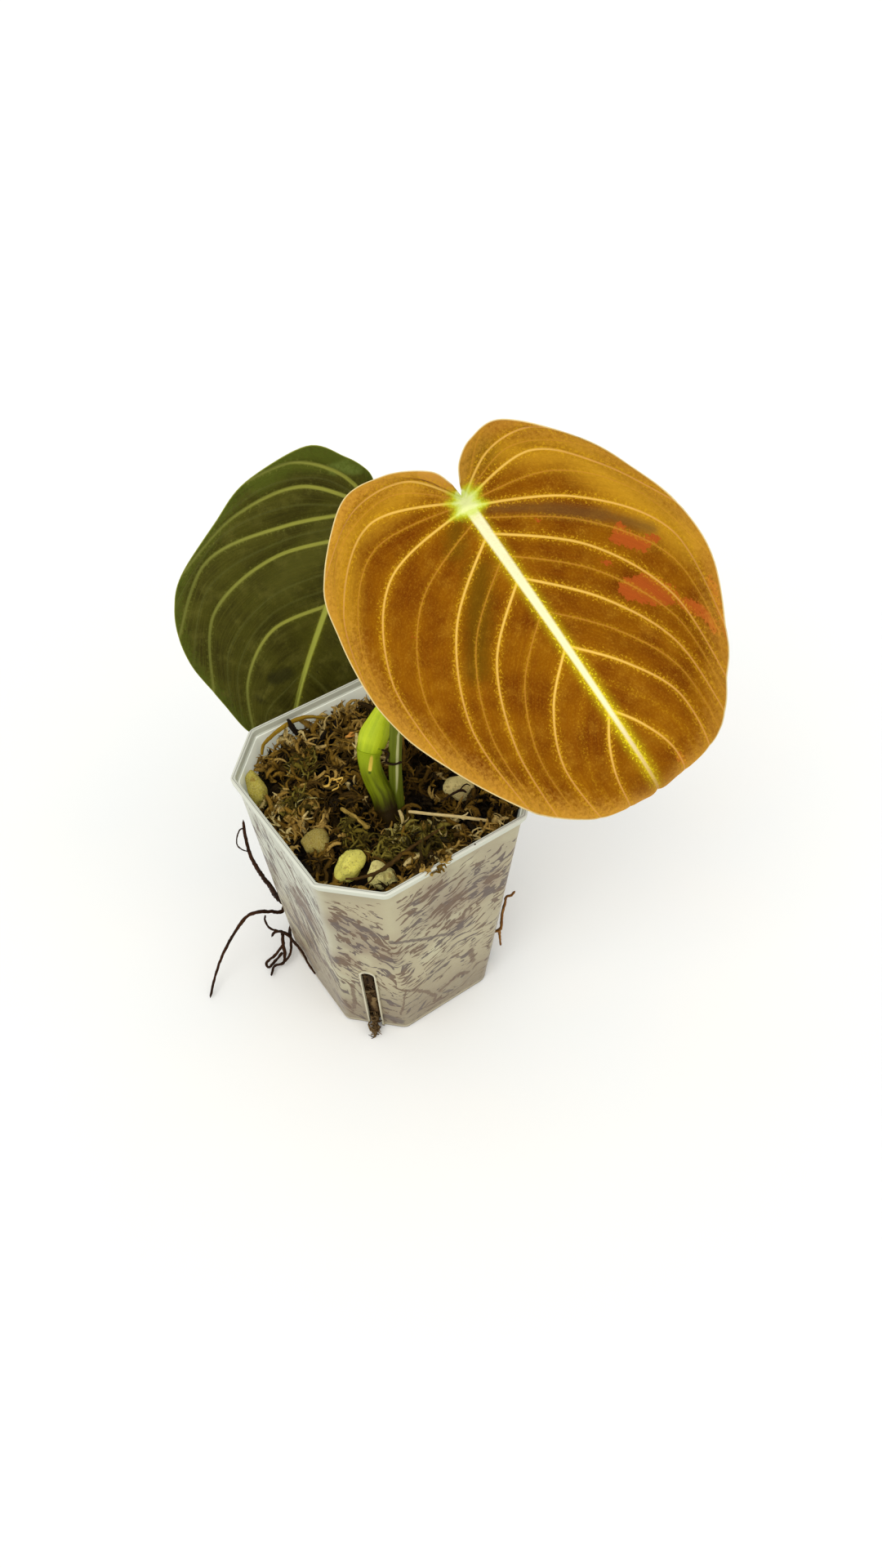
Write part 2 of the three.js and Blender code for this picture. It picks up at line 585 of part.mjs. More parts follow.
function leafFrame(leaf) {
  const { azimuth, elevation } = leaf.facing;
  const facing = new THREE.Vector3().setFromSphericalCoords(
    1,
    THREE.MathUtils.degToRad(90 - elevation),
    THREE.MathUtils.degToRad(azimuth),
  );
  const up = vec(facing.z, facing.x, facing.y);
  const origin = vec(...leaf.junction);
  const along = vec(...leaf.tip).sub(origin).normalize();
  up.addScaledVector(along, -up.dot(along)).normalize();
  return { origin, along, up, across: up.clone().cross(along) };
}

// The smooth sheet that the blade follows
function sheetPoint(leaf, frame, along, across) {
  const past = Math.max(0, along - leaf.curlFrom) / leaf.curlRadius;
  const forward = along - past * leaf.curlRadius + leaf.curlRadius * Math.sin(past);
  const lobe = Math.min(0, along);
  const curlFall = leaf.curlRadius * (1 - Math.cos(past));
  const height = -leaf.arch * across ** 2 - leaf.lobeFall * lobe ** 2 - curlFall;
  return frame.origin.clone()
    .addScaledVector(frame.along, forward)
    .addScaledVector(frame.across, across)
    .addScaledVector(frame.up, height);
}

function sheetNormal(leaf, frame, along, across) {
  const step = 0.05;
  const here = sheetPoint(leaf, frame, along, across);
  const ahead = sheetPoint(leaf, frame, along + step, across).sub(here);
  const beside = sheetPoint(leaf, frame, along, across + step).sub(here);
  return ahead.cross(beside).normalize();
}

function veinCell(row) {
  const edges = [0, ...mainVeins, 17];
  const next = edges.findIndex((edge) => edge > row);
  if (next < 1) return 0;
  return (row - edges[next - 1]) / (edges[next] - edges[next - 1]);
}

function bladeGeometry(leaf) {
  const frame = leafFrame(leaf);
  const lastRow = leaf.starts.length - 1;
  const ribEnd = leaf.starts[lastRow];
  const bow = (along) => leaf.sway * Math.sin(Math.PI * THREE.MathUtils.clamp(along / ribEnd, 0, 1));
  const startCurve = new THREE.SplineCurve(leaf.starts.map((along) => point2([along, bow(along)])));
  const thirdCurve = (table, third) => new THREE.SplineCurve(table.map((row) => point2(row[third])));
  const sideCurves = (table) => [0, 1, 2].map((third) => thirdCurve(table, third));
  const sides = { left: sideCurves(leaf.left), right: sideCurves(leaf.right) };
  const rows = [];
  for (let row = 0; row <= lastRow; row += 1) {
    rows.push(row);
    if (row > 1 && row < 16) rows.push(row + 0.5);
    if (row === 16) rows.push(row + 0.25, row + 0.5, row + 0.75);
  }
  const signed = [...bladeColumns.slice(1).reverse().map((u) => -u), ...bladeColumns];

  const upper = [];
  const lower = [];
  rows.forEach((row) => {
    const share = row / lastRow;
    const start = startCurve.getPoint(share);
    const lines = {};
    Object.entries(sides).forEach(([side, curves]) => {
      lines[side] = new THREE.SplineCurve([start, ...curves.map((curve) => curve.getPoint(share))]);
    });
    const quilt = blade.quilt * Math.sin(Math.PI * veinCell(row));
    const onVein = mainVeins.includes(row) ? blade.sideRib : 0;
    signed.forEach((u) => {
      const reach = Math.abs(u);
      const { x: along, y: across } = lines[u < 0 ? 'left' : 'right'].getPoint(reach);
      const normal = sheetNormal(leaf, frame, along, across);
      const fromRib = Math.abs(across - bow(along));
      const rib = hump(fromRib, blade.ribWidth) * Math.max(0.1, 1 - Math.max(0, along) / leaf.ribLength);
      const pad = hump(Math.hypot(along, across), blade.pad);
      const height = quilt * Math.sin(Math.PI * reach) ** 0.8 - blade.groove * rib;
      const thickness = blade.thickness + blade.rib * rib + onVein * (1 - reach) + pad;
      const top = sheetPoint(leaf, frame, along, across).addScaledVector(normal, height);
      upper.push(top);
      lower.push(top.clone().addScaledVector(normal, -thickness));
    });
  });

  const width = signed.length;
  const under = upper.length;
  const positions = [...upper, ...lower].flatMap((corner) => corner.toArray());
  const index = [];
  const quad = (a, b, c, d) => index.push(a, b, c, a, c, d);
  for (let row = 0; row < rows.length - 1; row += 1) {
    for (let column = 0; column < width - 1; column += 1) {
      const a = row * width + column;
      const corners = [a, a + width, a + width + 1, a + 1];
      // Each half is split along its own slant, so that the two halves mirror each other
      if (column >= bladeColumns.length - 1) corners.push(corners.shift());
      index.push(corners[0], corners[1], corners[2], corners[0], corners[2], corners[3]);
      const [e, f, g, h] = corners.map((corner) => corner + under);
      index.push(e, g, f, e, h, g);
    }
  }
  for (let row = 0; row < rows.length - 1; row += 1) {
    const a = row * width;
    const b = a + width;
    quad(a, a + under, b + under, b);
    quad(b + width - 1, b + width - 1 + under, a + width - 1 + under, a + width - 1);
  }
  for (let column = 0; column < width - 1; column += 1) {
    const a = column;
    const b = (rows.length - 1) * width + column;
    quad(a + 1, a + 1 + under, a + under, a);
    quad(b, b + under, b + 1 + under, b + 1);
  }
  const geometry = new THREE.BufferGeometry();
  geometry.setAttribute('position', new THREE.Float32BufferAttribute(positions, 3));
  geometry.setIndex(index);
  return geometry;
}

// Assembly. A piece that others lie in or on keeps its shape, and the softer one is cut clear of it.

const outsideRoots = {
  root_long_left: longRootSolid,
  root_climbing_left: climbingRootSolid,
  root_tangle_left: rootTangleSolid,
  rootlets_right: rightRootletsSolid,
};
const litter = {
  straw: [strawSolid, finish.straw],
  dead_strand: [deadStrandSolid, finish.root],
  bark_sliver: [barkSolid, finish.bark],
  golden_root: [goldenRootSolid, finish.goldenRoot],
};

place('pot', toGeometry(potSolid()), finish.plastic);
place('stem', toGeometry(stemSolid()), finish.stem);
place('petiole_front', toGeometry(newPetioleSolid()), finish.petiole);
place('petiole_back', toGeometry(oldPetioleSolid()), finish.oldPetiole);
place('leaf_front', bladeGeometry(frontLeaf), finish.copperLeaf);
place('leaf_back', bladeGeometry(backLeaf), finish.greenLeaf);
Object.entries(stones).forEach(([name, stone]) => {
  place(name, toGeometry(stoneSolid(stone)), finish.pumice);
});
Object.entries(litter).forEach(([name, [make, look]]) => place(name, toGeometry(make()), look));
Object.entries(outsideRoots).forEach(([name, make]) => place(name, toGeometry(make()), finish.root));

const rootRooms = Object.values(outsideRoots).map((make) => make(cleared));
const rhizome = cutAway(rhizomeSolid(), [oldPetioleSolid(cleared), stemSolid(cleared), ...rootRooms]);
place('rhizome', toGeometry(largest(rhizome)), finish.rhizome);

const sunkRooms = [
  stemSolid(cleared),
  oldPetioleSolid(cleared),
  ...Object.values(stones).map((stone) => stoneSolid(stone, cleared)),
  ...Object.values(litter).map(([make]) => make(cleared)),
];
const greenMoss = largest(cutAway(greenMossSolid(), sunkRooms));
place('moss_green', toGeometry(greenMoss), finish.greenMoss);

const mossTop = join([mossCore(), ...mossStrands()]).intersect(mossRoom());
const mossBody = cutAway(
  join([mossTop, ...slotMoss()]),
  [...sunkRooms, rhizomeSolid(cleared), greenMossSolid(cleared), ...rootRooms],
);
place('moss_fill', toGeometry(largest(mossBody)), finish.moss);

export default plant;
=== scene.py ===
# A young climbing aroid with two heart-shaped leaves, in a clear square nursery pot filled with moss
import math
import random
import bpy
import bmesh
import numpy as np
from functools import reduce
from mathutils import Matrix, Vector, noise


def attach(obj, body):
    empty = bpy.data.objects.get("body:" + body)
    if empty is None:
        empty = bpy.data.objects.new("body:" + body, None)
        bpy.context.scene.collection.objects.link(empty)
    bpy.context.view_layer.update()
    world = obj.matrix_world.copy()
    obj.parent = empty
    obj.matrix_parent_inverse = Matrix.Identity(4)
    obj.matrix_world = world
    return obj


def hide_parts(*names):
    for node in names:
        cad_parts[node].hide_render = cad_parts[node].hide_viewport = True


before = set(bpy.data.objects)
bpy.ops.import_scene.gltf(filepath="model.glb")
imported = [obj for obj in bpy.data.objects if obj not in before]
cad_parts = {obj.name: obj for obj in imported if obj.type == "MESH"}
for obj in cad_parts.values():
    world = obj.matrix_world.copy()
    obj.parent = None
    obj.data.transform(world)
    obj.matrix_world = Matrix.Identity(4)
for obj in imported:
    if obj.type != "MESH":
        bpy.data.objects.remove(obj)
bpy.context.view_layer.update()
mm = 0.001  # pieces are modelled in millimetres and made metres when they are finished
print("frame loaded:", len(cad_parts), "nodes")

# Camera

photoView = {
    "lens": 25.28, "sensor": 36, "nearest": 0.01, "azimuth": 55.79, "elevation": 48.69, "roll": -1.06,
    "place": (197.6, -112.9, 346.8),
}


def makeCamera():
    turn, lift, roll = (math.radians(photoView[key]) for key in ("azimuth", "elevation", "roll"))
    back = Vector((math.sin(turn) * math.cos(lift), -math.cos(turn) * math.cos(lift), math.sin(lift)))
    level = Vector((math.cos(turn), math.sin(turn), 0))
    upright = back.cross(level)
    right = level * math.cos(roll) + upright * math.sin(roll)
    up = upright * math.cos(roll) - level * math.sin(roll)
    data = bpy.data.cameras.new("camera")
    data.lens = photoView["lens"]
    data.sensor_width = photoView["sensor"]
    data.clip_start = photoView["nearest"]
    made = bpy.data.objects.new("camera", data)
    bpy.context.scene.collection.objects.link(made)
    turned = Matrix((right, up, back)).transposed().to_4x4()
    made.matrix_world = Matrix.Translation(Vector(photoView["place"]) * mm) @ turned
    bpy.context.scene.camera = made


makeCamera()

# Shader helpers. New nodes go into the tree that is being built, a material's or a group's.

building = {"tree": None}


class Wire:
    # What comes out of a node, which can be added, taken away and multiplied
    def __init__(self, socket):
        self.socket = socket

    def __add__(self, other):
        return calc("ADD", self, other)

    def __sub__(self, other):
        return calc("SUBTRACT", self, other)

    def __rsub__(self, other):
        return calc("SUBTRACT", other, self)

    def __mul__(self, other):
        return calc("MULTIPLY", self, other)


def paint(code):
    # A hex colour as the linear one that a shader takes
    parts = [int(code[i:i + 2], 16) / 255 for i in (1, 3, 5)]
    return tuple(p / 12.92 if p < 0.04045 else ((p + 0.055) / 1.055) ** 2.4 for p in parts) + (1.0,)


def feed(inputs, values):
    # Each value goes into its input, as a link or as it is
    for key, value in values.items():
        if isinstance(value, Wire):
            building["tree"].links.new(value.socket, inputs[key])
        else:
            inputs[key].default_value = value


def addNode(kind, values=None, **settings):
    made = building["tree"].nodes.new(kind)
    for key, value in settings.items():
        setattr(made, key, value)
    feed(made.inputs, values or {})
    return made


def wire(kind, values=None, output=0, **settings):
    return Wire(addNode(kind, values, **settings).outputs[output])


def calc(operation, a, b=0.0, c=0.0, clamp=False):
    return wire("ShaderNodeMath", {0: a, 1: b, 2: c}, operation=operation, use_clamp=clamp)


def highest(*values):
    return reduce(lambda a, b: calc("MAXIMUM", a, b), values)


def vectorCalc(operation, a, b=(0, 0, 0)):
    output = "Value" if operation in ("DOT_PRODUCT", "DISTANCE", "LENGTH") else "Vector"
    return wire("ShaderNodeVectorMath", {0: a, 1: b}, output, operation=operation)


def partsOf(vector):
    return [Wire(socket) for socket in addNode("ShaderNodeSeparateXYZ", {0: vector}).outputs]


def joined(x, y, z):
    return wire("ShaderNodeCombineXYZ", {0: x, 1: y, 2: z})


def mixed(factor, a, b, kind="MIX"):
    a, b = (paint(shade) if isinstance(shade, str) else shade for shade in (a, b))
    return wire("ShaderNodeMix", {0: factor, 6: a, 7: b}, 2, data_type="RGBA", blend_type=kind)


def layered(colour, *layers):
    # Shades laid over a colour, each where its mask is
    for mask, shade in layers:
        colour = mixed(mask, colour, shade)
    return colour


def ease(value, start, end, low=0.0, high=1.0):
    values = {0: value, 1: start, 2: end, 3: low, 4: high}
    return wire("ShaderNodeMapRange", values, interpolation_type="SMOOTHSTEP")


def speckle(vector, scale, detail=3.0, roughness=0.55, distortion=0.0):
    values = {"Scale": scale, "Detail": detail, "Roughness": roughness, "Distortion": distortion}
    return wire("ShaderNodeTexNoise", {"Vector": vector, **values})


def scaled(vector, scale, shift=(0, 0, 0)):
    return wire("ShaderNodeMapping", {"Vector": vector, "Scale": scale, "Location": shift})


def objectMm():
    return scaled(wire("ShaderNodeTexCoord", output="Object"), (1000, 1000, 1000))


def attribute(name, output="Fac"):
    return wire("ShaderNodeAttribute", output=output, attribute_name=name)


def bumped(shader, height, distance, strength=1.0):
    bump = wire("ShaderNodeBump", {"Height": height, "Strength": strength, "Distance": distance})
    feed(shader.inputs, {"Normal": bump})


def newMaterial(name, roughness, specular):
    made = bpy.data.materials.new(name)
    made.use_nodes = True
    building["tree"] = made.node_tree
    made.node_tree.nodes.clear()
    shader = addNode("ShaderNodeBsdfPrincipled", {"Roughness": roughness, "Specular IOR Level": specular})
    addNode("ShaderNodeOutputMaterial", {"Surface": Wire(shader.outputs[0])})
    return made, shader


def newGroup(name, inputs, makeOutputs):
    # A group that puts out the values that makeOutputs gives, by name, for its inputs
    tree = building["tree"] = bpy.data.node_groups.new(name, "ShaderNodeTree")
    for label, start in inputs.items():
        kind = "NodeSocketVector" if isinstance(start, tuple) else "NodeSocketFloat"
        tree.interface.new_socket(label, in_out="INPUT", socket_type=kind).default_value = start
    given = tree.nodes.new("NodeGroupInput").outputs
    outputs = makeOutputs(*(Wire(given[label]) for label in inputs))
    for label in outputs:
        tree.interface.new_socket(label, in_out="OUTPUT", socket_type="NodeSocketFloat")
    feed(tree.nodes.new("NodeGroupOutput").inputs, outputs)
    return tree


def useGroup(group, *values):
    # The group's outputs by name, for values in the order of its inputs
    made = addNode("ShaderNodeGroup", dict(enumerate(values)), node_tree=group)
    return {socket.name: Wire(socket) for socket in made.outputs}


def grainOutputs(vector, blotchScale, grainScale):
    # Blotches and fine grain around a middle value, for colour and for height
    return {
        "Blotch": ease(speckle(vector, blotchScale, 3, 0.6), 0.33, 0.67),
        "Grain": ease(speckle(vector, grainScale, 4, 0.65), 0.3, 0.7),
    }


def veinOutputs(distance, halfWidth, softness, glowReach, spot, fleckScale):
    # A leaf vein from the distance to its middle: its line, the glow beside it, and the flecks in that glow
    ragged = speckle(spot, fleckScale, 3, 0.65)
    share = calc("DIVIDE", distance, glowReach, clamp=True)
    near = 1.0 - share
    flecks = ease(ragged - (share * 0.3 + 0.42), 0.0, 0.1)
    return {
        "Line": ease(distance + (ragged - 0.5) * 0.3, halfWidth + softness, halfWidth - softness * 0.5),
        "Glow": calc("POWER", near, 2.5),
        "Flecks": flecks * ease(near, 0.0, 0.3),
    }


def streakOutputs(lay, roundScale, alongScale):
    # Streaks that run along a limb, from its "lay" attribute (round it twice, then millimetres along it)
    x, y, z = partsOf(lay)
    spot = joined(x * roundScale, y * roundScale, z * alongScale)
    return {
        "Streak": ease(speckle(spot, 1.0, 3), 0.3, 0.7),
        "Ring": speckle(scaled(spot, (0.2, 0.2, 12)), 1.0, 2),
    }


def strokeOutputs(place, start, end, halfWidth, softness):
    # Mask of what lies near a straight stroke between two spots
    run, toPlace = (vectorCalc("SUBTRACT", spot, start) for spot in (end, place))
    lengths = [vectorCalc("DOT_PRODUCT", run, other) for other in (toPlace, run)]
    nearest = vectorCalc("MULTIPLY", run, calc("DIVIDE", *lengths, clamp=True))
    away = vectorCalc("DISTANCE", toPlace, nearest)
    return {"Mask": ease(away, halfWidth + softness, halfWidth - softness)}


grainGroup = newGroup("grain", {"Vector": (0, 0, 0), "Blotch Scale": 0.2, "Grain Scale": 2.0}, grainOutputs)
veinGroup = newGroup("leafVein", {
    "Distance": 1.0, "Half Width": 0.4, "Softness": 0.3, "Glow Reach": 3.0, "Fleck Vector": (0, 0, 0),
    "Fleck Scale": 1.5,
}, veinOutputs)
streakGroup = newGroup("limbStreak", {
    "Lay": (0, 0, 0), "Round Scale": 3.0, "Along Scale": 0.08,
}, streakOutputs)
strokeGroup = newGroup("stroke", {
    "Place": (0, 0, 0), "From": (0, 0, 0), "To": (0, 0, 1), "Half Width": 1.0, "Softness": 0.3,
}, strokeOutputs)


def strokes(place, spots, half, soft):
    # Mask of a bent stroke through spots. One spot makes a round place.
    ends = zip(spots, spots[1:] or spots)
    return highest(*(useGroup(strokeGroup, place, start, end, half, soft)["Mask"] for start, end in ends))


# Shape helpers


def splineAt(points, share):
    # Uniform spline through points (one set for all shares, or one set for each), share from 0 to 1
    points = np.asarray(points, float)
    last = len(points) - 1
    place = np.clip(share, 0, 1) * last
    low = np.minimum(place.astype(int), last - 1)
    t = (place - low)[:, None]
    each = np.arange(len(low)) if points.ndim == 3 else slice(None)
    knots = [np.clip(low + step, 0, last) for step in (-1, 0, 1, 2)]
    a, b, c, d = (points[knot, each] for knot in knots)
    leave, arrive = (c - a) / 2, (d - b) / 2
    cubic, square = 2 * b - 2 * c + leave + arrive, 3 * c - 3 * b - 2 * leave - arrive
    return cubic * t**3 + square * t**2 + leave * t + b


def walkPath(points, steps):
    # Points at equal lengths along a smooth curve through the given ones, and its length
    knots = [Vector(p) for p in points]
    knots = [knots[0] * 2 - knots[1]] + knots + [knots[-1] * 2 - knots[-2]]
    fine = []
    for a, b, c, d in zip(knots, knots[1:], knots[2:], knots[3:]):
        first, middle, last = ((q - p).length ** 0.5 for p, q in ((a, b), (b, c), (c, d)))
        leave = ((b - a) / first - (c - a) / (first + middle) + (c - b) / middle) * middle
        arrive = ((c - b) / middle - (d - b) / (middle + last) + (d - c) / last) * middle
        for t in (i / 16 for i in range(16)):
            bend = (3 * (c - b) - 2 * leave - arrive) * t**2 + (2 * (b - c) + leave + arrive) * t**3
            fine.append(b + leave * t + bend)
    fine.append(knots[-2])
    reached = np.cumsum([0] + [(q - p).length for p, q in zip(fine, fine[1:])])
    wanted = np.linspace(0, reached[-1], steps + 1)
    axes = [np.interp(wanted, reached, [p[axis] for p in fine]) for axis in range(3)]
    return [Vector(p) for p in zip(*axes)], reached[-1]


def vertsOf(geometry):
    return [item for item in geometry if isinstance(item, bmesh.types.BMVert)]


def newRing(bm, sides):
    # A ring to extrude: its points and edges
    ring = bmesh.ops.create_circle(bm, cap_ends=False, radius=1, segments=sides)["verts"]
    return ring, list({edge for vert in ring for edge in vert.link_edges})


def nextRing(bm, edges):
    made = bmesh.ops.extrude_edge_only(bm, edges=edges)["geom"]
    ring = vertsOf(made)
    known = set(ring)
    edges = [item for item in made if isinstance(item, bmesh.types.BMEdge)]
    return ring, [edge for edge in edges if known.issuperset(edge.verts)]


def sweep(bm, points, radiusAt, sides, steps, flatten=1.0, twist=0.0, rough=0.0):
    # A ring extruded along a path. radiusAt takes the share of the length; "lay" keeps where each point lies.
    spots, length = walkPath(points, steps)
    lay = bm.verts.layers.float_vector.get("lay") or bm.verts.layers.float_vector.new("lay")
    ring, edges = newRing(bm, sides)
    firstEdges = edges
    for vert in ring:
        vert[lay] = vert.co
    ahead = (spots[1] - spots[0]).normalized()
    side = ahead.orthogonal().normalized()
    for step, spot in enumerate(spots):
        share = step / steps
        onward = (spots[min(step + 1, steps)] - spots[max(step - 1, 0)]).normalized()
        side.rotate(ahead.rotation_difference(onward))
        ahead = onward
        lean = Matrix.Rotation(twist * share, 3, ahead) @ side
        other = ahead.cross(lean)
        if step:
            ring, edges = nextRing(bm, edges)
        for vert in ring:
            turn = math.atan2(vert[lay][1], vert[lay][0])
            c, s = math.cos(turn), math.sin(turn)
            radius = radiusAt(share)
            if rough:
                radius *= 1 + rough * noise.noise(spot * 0.9 + Vector((c, s, 0)))
            vert.co = spot + (lean * c + other * s * flatten) * radius
            vert[lay] = (c, s, share * length)
    for loop in (firstEdges, edges):
        bmesh.ops.contextual_create(bm, geom=loop)


def taper(start, end, tip=0.03):
    # Radius from start to end, rounded off within tip at both ends
    def radiusAt(share):
        close = min(1, min(share, 1 - share) / tip)
        return (start + (end - start) * share) * max(0.12, math.sqrt(1 - (1 - close) ** 2))
    return radiusAt


def hump(distance, reach):
    return np.exp(-((distance / reach) ** 2))


def meshObject(bm, name):
    mesh = bpy.data.meshes.new(name)
    bm.to_mesh(mesh)
    bm.free()
    made = bpy.data.objects.new(name, mesh)
    bpy.context.scene.collection.objects.link(made)
    return made


def finishPiece(bm, name, material, node, angle=50, outward=True):
    # The piece's object, in metres. Edges sharper than the angle stay sharp.
    if outward:
        bmesh.ops.recalc_face_normals(bm, faces=bm.faces)
    bmesh.ops.scale(bm, vec=(mm, mm, mm), verts=bm.verts)
    piece = meshObject(bm, name)
    piece.data.materials.append(material)
    piece.data.shade_smooth()
    if angle:
        piece.data.set_sharp_from_angle(angle=math.radians(angle))
    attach(piece, "root")
    if node:
        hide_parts(node)
    print(name, len(piece.data.polygons), "faces")


def sweptPiece(name, node, skin, sweeps, angle=50):
    # A piece of sweeps, each with its path, radius, sides, steps and settings
    bm = bmesh.new()
    for path, radiusAt, sides, steps, settings in sweeps:
        sweep(bm, path, radiusAt, sides, steps, **settings)
    finishPiece(bm, name, skin, node, angle)


# Leaves. Each line of a side runs with the veins, from the midrib to the margin; its points are
# [along, across] in the blade's own plane at a third, two thirds and the end.

frontLeaf = {
    "mainVeins": [4, 6, 8, 10, 12, 14, 15], "minorVeins": [2.6, 5, 7, 9, 11, 13, 14.5],
    "junction": (1.4, 30.4, 180), "tip": (74.4, 39, 131.4), "azimuth": -40, "elevation": 46,
    "arch": 0.003, "lobeFall": 0.004, "curlFrom": 79, "curlRadius": 10.8, "ribLength": 105, "sway": 0.6,
    "thickness": 0.5, "quilt": 0.75, "ripple": 0.35, "ribHeight": 1.2,
    "columns": 50, "rowCuts": 11,  # how fine the blade is: cuts across each side, and from line to line
    "starts": [-3, -2.7, -2.4, -2.1, -1.8, -1.4, -1, -0.4, 0.4, 4.2, 9, 16, 23, 33.5, 44.5, 64.5, 80, 101],
    "right": [
        [[-4, 0.7], [-5, 1.1], [-6, 1.5]], [[-5.4, 1.9], [-7.9, 3.1], [-10.5, 4.4]],
        [[-6.2, 3.8], [-10, 7], [-14, 10.5]], [[-7.5, 7.5], [-11.6, 13.2], [-13.5, 20]],
        [[-8.6, 12.1], [-7.8, 24.4], [1, 33.5]], [[-6.2, 16.5], [1, 30.3], [14, 40.5]],
        [[-2.6, 21], [11, 35], [30, 46]], [[5.2, 23], [22.5, 38.8], [47, 45.6]],
        [[13.9, 24.2], [35.2, 40.4], [64, 37.8]], [[20.3, 22.3], [42, 36.4], [70, 34.6]],
        [[26.4, 20.1], [49, 31.1], [75, 30.5]], [[33, 17.9], [54.6, 28.2], [78.8, 27.8]],
        [[39.9, 15.4], [59.6, 24.9], [82, 25]], [[48.4, 13.4], [65.5, 21.6], [85.5, 21.5]],
        [[56.8, 10.8], [71, 17.9], [88.5, 17.2]], [[72, 5.4], [81.5, 8.8], [93.5, 8.8]],
        [[85, 2.2], [90.5, 3.8], [97.5, 3.6]], [[101.6, 0.2], [102.3, 0.35], [103, 0.5]],
    ],
    "left": [
        [[-4.2, -0.1], [-5.6, -0.2], [-7, -0.3]], [[-6, -1], [-9.5, -2], [-13, -3.2]],
        [[-7.5, -3], [-13, -6.4], [-19.5, -14]], [[-11.3, -4.4], [-17.6, -14.5], [-20.3, -27]],
        [[-14.4, -9.8], [-16.4, -26], [-6, -43]], [[-13.6, -15.5], [-9.5, -35], [8, -47.8]],
        [[-11, -24], [3.8, -43], [26, -50]], [[-4.4, -27], [13.6, -43.8], [40, -48.2]],
        [[4.1, -27.4], [25.7, -42.3], [54, -43]], [[14.2, -24.2], [37, -38], [66, -37]],
        [[24.5, -20.1], [48.5, -31.8], [75.5, -31.3]], [[31, -18.3], [53.8, -28.6], [78.5, -28.8]],
        [[37.6, -16.3], [59, -24.9], [81, -26.2]], [[46.7, -13.6], [64.9, -21.3], [85, -21.5]],
        [[55.7, -10.7], [70.5, -17.4], [88.5, -16.8]], [[72.5, -4.6], [81.5, -7.8], [93.5, -8.6]],
        [[85, -2.2], [90.5, -3.8], [97.5, -3.6]], [[101.6, -0.2], [102.3, -0.35], [103, -0.5]],
    ],
    # Tinted places, each a list of strokes: start, end and half width, in the blade's plane
    "tints": {
        "pink": [
            ((27, 29.3), (28.6, 26.6), 1.3), ((29.5, 28), (34, 31.4), 1.9), ((33.4, 32), (34.6, 35), 1.2),
            ((32, 20.6), (33.5, 21.8), 0.7), ((41.8, 22.5), (47, 27.6), 3), ((42.4, 26.4), (48.6, 29.6), 2.6),
            ((52.6, 31.8), (57, 34.8), 1.5), ((57, 35), (63, 35.2), 1.3), ((13.2, 12.1), (14, 13.2), 0.4),
            ((84.6, 8.9), (88.4, 9.2), 0.8), ((51, 41.5), (66, 36.6), 0.9),
            ((19.6, -30.8), (20.1, -30.4), 0.35),
        ],
        "peach": [((-13, -4.2), (-9, -1.7), 2.1), ((-10.5, -3), (-6.5, -1.2), 1.4)],
        "mauve": [((4, 4.6), (12, 15.6), 1.4), ((12, 15.6), (22.4, 27.6), 1.9),
                  ((22.4, 27.6), (32, 36), 1.3)],
        "olive": [
            ((15.9, -7.2), (28, -15.6), 3.4), ((28, -15.6), (37, -22), 3), ((-7, 3), (-9.6, 11), 3.6),
            ((2, -5), (8, -9), 2.5),
        ],
        "gold": [((-7, 14), (5, 30), 3), ((5, 30), (40, 42), 4), ((-12, -10), (-11, -32), 3),
                 ((-11, -32), (6, -44), 3)],
    },
}

backHalf = [
    [[-4.5, -1.3], [-6.5, -1.7], [-8.5, -1.9]], [[-5, -2.8], [-7.8, -4.2], [-11.5, -5.5]],
    [[-6, -6], [-9.5, -10], [-13.4, -13.3]], [[-7.4, -9], [-10.8, -17], [-12.9, -25.6]],
    [[-8.2, -13.6], [-7.1, -28.4], [2.7, -39.6]], [[-5.2, -18.5], [2.4, -34], [18, -45]],
    [[-1.1, -23.5], [14.6, -40.6], [37, -50.2]], [[5.5, -25], [22, -42.6], [48, -49.6]],
    [[11.7, -24.1], [30, -44.1], [57.5, -46]], [[17, -24.6], [38, -41.4], [66, -39.6]],
    [[22.7, -25], [46.4, -37.8], [73, -31]], [[29, -23.6], [52, -34], [77, -26]],
    [[35, -22], [57, -30], [80, -22.5]], [[41, -20.5], [62, -25.6], [83.5, -18]],
    [[46.7, -18.7], [66.6, -21.3], [86, -13.5]], [[66, -8], [76, -12], [90, -8.5]],
    [[83, -3.2], [88, -4.6], [94.5, -3.6]], [[97, -0.4], [98, -0.6], [99, -0.7]],
]


def otherHalf(row, index):
    # The hidden half follows the shown one, with its lobe held off the petiole
    notch = 3.4 * hump(index, 1.6)
    shifts = [notch * math.sqrt((place + 1) / 3) for place in range(3)]
    return [[along, -0.97 * across + shift] for (along, across), shift in zip(row, shifts)]


